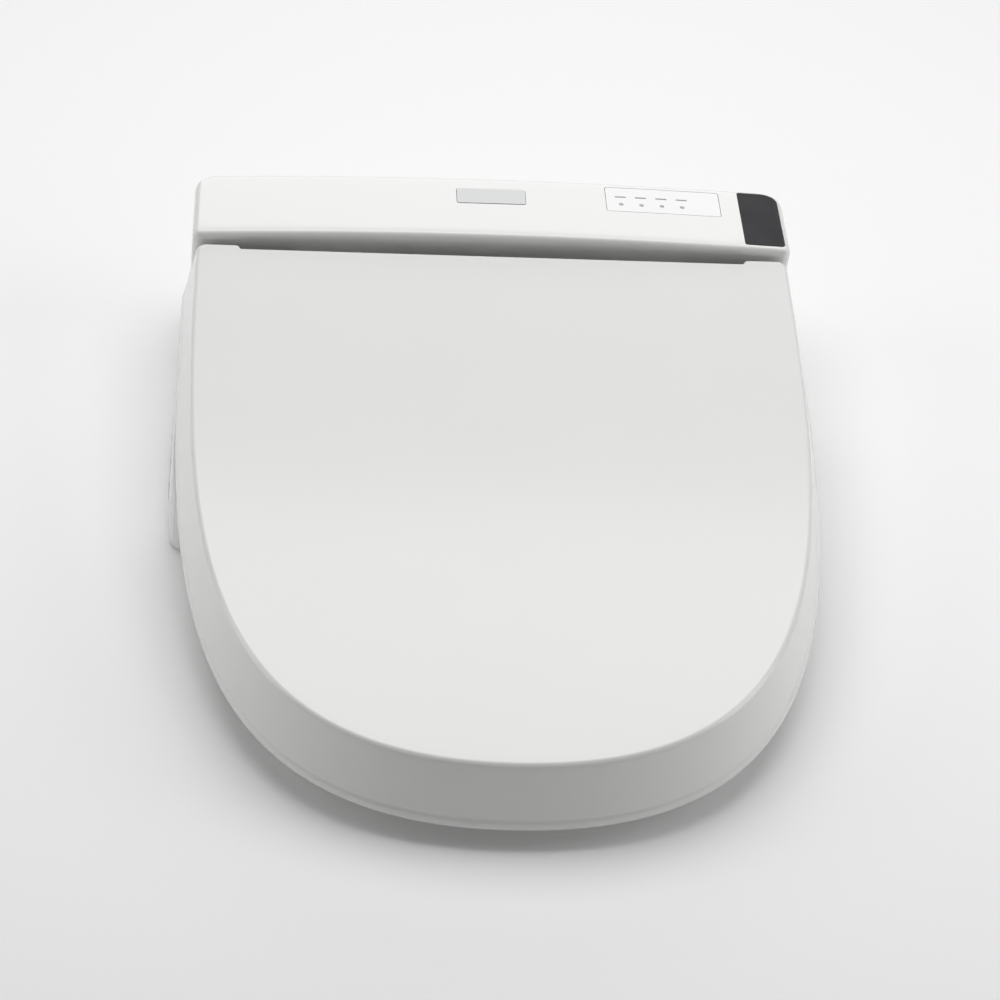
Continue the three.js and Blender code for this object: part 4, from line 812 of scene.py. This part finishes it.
def makeTopPanels():
    for name, place in topPanels.items():
        node, corners = place["node"], place["corners"]
        points, faces = topPlate(plateBox(node), 0.0, -1.2, place["high"], corners)
        newPiece(name + "Plate", points, faces, "main_unit", place["finish"], [node], sharp=30,
                 bevel=0.25)
    print("top panels")


lampSize = {"x": (82.8, 95.9, 109.0, 122.1), "behindFront": 43.0, "radius": 1.5, "dashAhead": 8.6,
             "dashHalf": 3.6, "dashThick": 1.1, "lift": 0.12,
             "dome": ((0, 1), (0.12, 0.98), (0.3, 0.8), (0.42, 0.45))}


def makeLamps():
    # four lamp lenses, each with a plain printed dash behind it
    size = lampSize
    y = housingSize["frontY"] + size["behindFront"]
    for k, x in enumerate(size["x"]):
        r = size["radius"]
        dome = [(rise, r * share) for rise, share in size["dome"]] + [(0.46, 0.01)]
        points, faces = turned(dome, (x, y, crownZ(x) - 0.02), (0, 0, 1), 24)
        newPiece("lampLens%d" % (k + 1), points, faces, "main_unit", "lens")
        rowY = y + size["dashAhead"]
        place = (x - size["dashHalf"], x + size["dashHalf"], rowY - size["dashThick"] / 2,
                 rowY + size["dashThick"] / 2)
        points, faces = topPlate(place, 0.0, -0.3, size["lift"], (0.4, 0.4, 0.4, 0.4), 2)
        newPiece("lampMark%d" % (k + 1), points, faces, "main_unit", "print")
    print("lamps")


makeHousing()
makeTopPanels()
makeLamps()

wandSize = {"radius": 6.5, "tip": 18.0, "tubeFrom": 18.4, "length": 140.0, "setBack": 40.0,
            "face": (-136.0, 14.5), "angle": 21.0, "sprayRadius": 0.55,
            "sprayHoles": ((7, 0), (9, 1.6), (9, -1.6), (11, 0), (9, 0))}


def makeWand():
    size = wandSize
    turn = math.radians(size["angle"])
    inward = Vector((0, math.cos(turn), math.sin(turn)))
    face = Vector((0,) + size["face"])
    start = face + inward * size["setBack"]
    r = size["radius"]
    tip = [(0, 0.01), (0, r - 2.6), (0.4, r - 1.7), (1.2, r - 0.8), (2.6, r - 0.15), (4, r),
           (size["tip"] - 0.6, r), (size["tip"], r - 0.5), (size["tip"], 0.01)]
    points, faces = turned(tip, start, inward)
    head = newPiece("wandTip", points, faces, "wand", "inner_plastic", ["nozzle_tip"], sharp=30)
    square = Vector((0, -math.sin(turn), math.cos(turn)))
    holes = []
    bore = size["sprayRadius"]
    for along, across in size["sprayHoles"]:
        place = start + inward * along + square * (r - 1.6) + Vector((across, 0, 0))
        holes.append(cutter(*turned([(0, bore), (4, bore)], place, square, 14)))
    cutAway(head, holes)
    tube = [(size["tubeFrom"], 0.01), (size["tubeFrom"], r - 0.5), (size["tubeFrom"] + 0.6, r)]
    tube += [(size["length"] - 0.8, r), (size["length"], r - 0.8), (size["length"], 0.01)]
    points, faces = turned(tube, start, inward)
    newPiece("wandTube", points, faces, "wand", "steel", ["wand_tube"], sharp=30)
    print("wash wand")


makeWand()

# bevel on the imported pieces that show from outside
softWidth = {
    "front_cover": 0.9, "side_wing": 1.1, "button_rear_wash": 1.2, "button_front_wash": 1.2,
    "button_stop": 1.2, "mounting_plate": 0.8, "base_tray": 0.5, "base_pad_left": 0.6,
    "base_pad_right": 0.6, "nozzle_shutter": 0.35, "dryer_flap": 0.35, "deodoriser_filter": 0.5,
    "release_button": 0.8, "drain_plug": 0.6, "water_tank": 0.8, "tank_lid": 0.5,
    "solenoid_valve": 0.5, "dryer_duct": 0.3, "power_cable_gland": 0.4, "deodoriser_case": 0.5,
    "wand_motor": 0.4, "control_board": 0.2, "power_board": 0.3, "release_bar": 0.3,
}


def finishPacked():
    slotOf = {row["node"]: row["material_slot"] for row in frame["record"]["subparts"]}
    shown = 0
    for node, item in frame["nodes"].items():
        item.data.materials.clear()
        item.data.materials.append(finishes[slotOf[node]])
        if item.hide_render:
            continue
        shown += 1
        if node in softWidth:
            flat = item.modifiers.new("mergeFlat", "DECIMATE")
            flat.decimate_type = "DISSOLVE"
            flat.angle_limit = math.radians(0.8)
            softEdges(item, softWidth[node], 3, 28)
    print("packed pieces shown:", shown)


finishPacked()

floorSize = {"half": 6000.0, "tone": (0.84, 0.84, 0.84), "glow": 0.1, "rough": 0.9, "shine": 0.1}


def makeFloor():
    size = floorSize
    far = size["half"]
    points = [(-far, -far, 0), (far, -far, 0), (far, far, 0), (-far, far, 0)]
    mesh = bpy.data.meshes.new("studioFloor")
    mesh.from_pydata([[c * mm for c in p] for p in points], [], [(0, 1, 2, 3)])
    floor = bpy.data.objects.new("studioFloor", mesh)
    bpy.context.scene.collection.objects.link(floor)
    paper = bpy.data.materials.new("paperFloor")
    paper.use_nodes = True
    shader = paper.node_tree.nodes["Principled BSDF"]
    shader.inputs["Base Color"].default_value = size["tone"] + (1,)
    shader.inputs["Roughness"].default_value = size["rough"]
    shader.inputs["Specular IOR Level"].default_value = size["shine"]
    shader.inputs["Emission Color"].default_value = size["tone"] + (1,)
    shader.inputs["Emission Strength"].default_value = size["glow"]
    mesh.materials.append(paper)


# each softbox in metres: where it hangs, where it points, width, height, and its power
lightSize = {
    "world": 0.12,
    "softboxes": {
        "topSoftbox": ((0, 0.25, 1.6), (0, -0.2, 0), 1.8, 1.4, 21.5),
        "leftSoftbox": ((-1.6, -0.1, 0.7), (0, -0.2, 0.05), 0.9, 1.4, 6.0),
        "rightSoftbox": ((1.6, -0.35, 0.8), (0, -0.2, 0.05), 0.9, 1.4, 9.0),
        "rearSoftbox": ((0.2, 1.7, 0.9), (0, 0, 0.05), 1.6, 0.8, 6.5),
    },
}


def makeLights():
    size = lightSize
    world = bpy.data.worlds.new("studio")
    bpy.context.scene.world = world
    world.use_nodes = True
    world.node_tree.nodes["Background"].inputs["Color"].default_value = (1, 1, 1, 1)
    world.node_tree.nodes["Background"].inputs["Strength"].default_value = size["world"]

    for name, (place, aim, width, height, power) in size["softboxes"].items():
        light = bpy.data.lights.new(name, "AREA")
        light.shape = "RECTANGLE"
        light.size, light.size_y, light.energy = width, height, power
        item = bpy.data.objects.new(name, light)
        item.location = place
        item.rotation_euler = (Vector(aim) - Vector(place)).to_track_quat("-Z", "Y").to_euler()
        bpy.context.scene.collection.objects.link(item)


# azimuth and roll in radians, elevation in degrees; focal and sensor are the lens's own millimetres
cameraSize = {
    "focal": 118.8, "sensor": 36.0, "distance": 1936.0, "target": (-1.1, -229.4, 53.0),
    "azimuth": -0.087, "elevation": 37.0, "roll": 0.078,
}


def makeCamera():
    size = cameraSize
    a, e, roll = size["azimuth"], math.radians(size["elevation"]), size["roll"]
    back = Vector((math.sin(a) * math.cos(e), -math.cos(a) * math.cos(e), math.sin(e)))
    right = Vector((math.cos(a), math.sin(a), 0))
    up = back.cross(right)
    across = right * math.cos(roll) + up * math.sin(roll)
    tall = -right * math.sin(roll) + up * math.cos(roll)
    camera = bpy.data.cameras.new("camera")
    camera.lens, camera.sensor_width = size["focal"], size["sensor"]
    camera.clip_start, camera.clip_end = 0.05, 50.0
    item = bpy.data.objects.new("camera", camera)
    turn = Matrix((across, tall, back)).transposed().to_4x4()
    place = Vector(size["target"]) * mm + back * size["distance"] * mm
    item.matrix_world = Matrix.Translation(place) @ turn
    bpy.context.scene.collection.objects.link(item)
    bpy.context.scene.camera = item
    bpy.context.scene.view_settings.view_transform = "Standard"


makeFloor()
makeLights()
makeCamera()
print("studio")
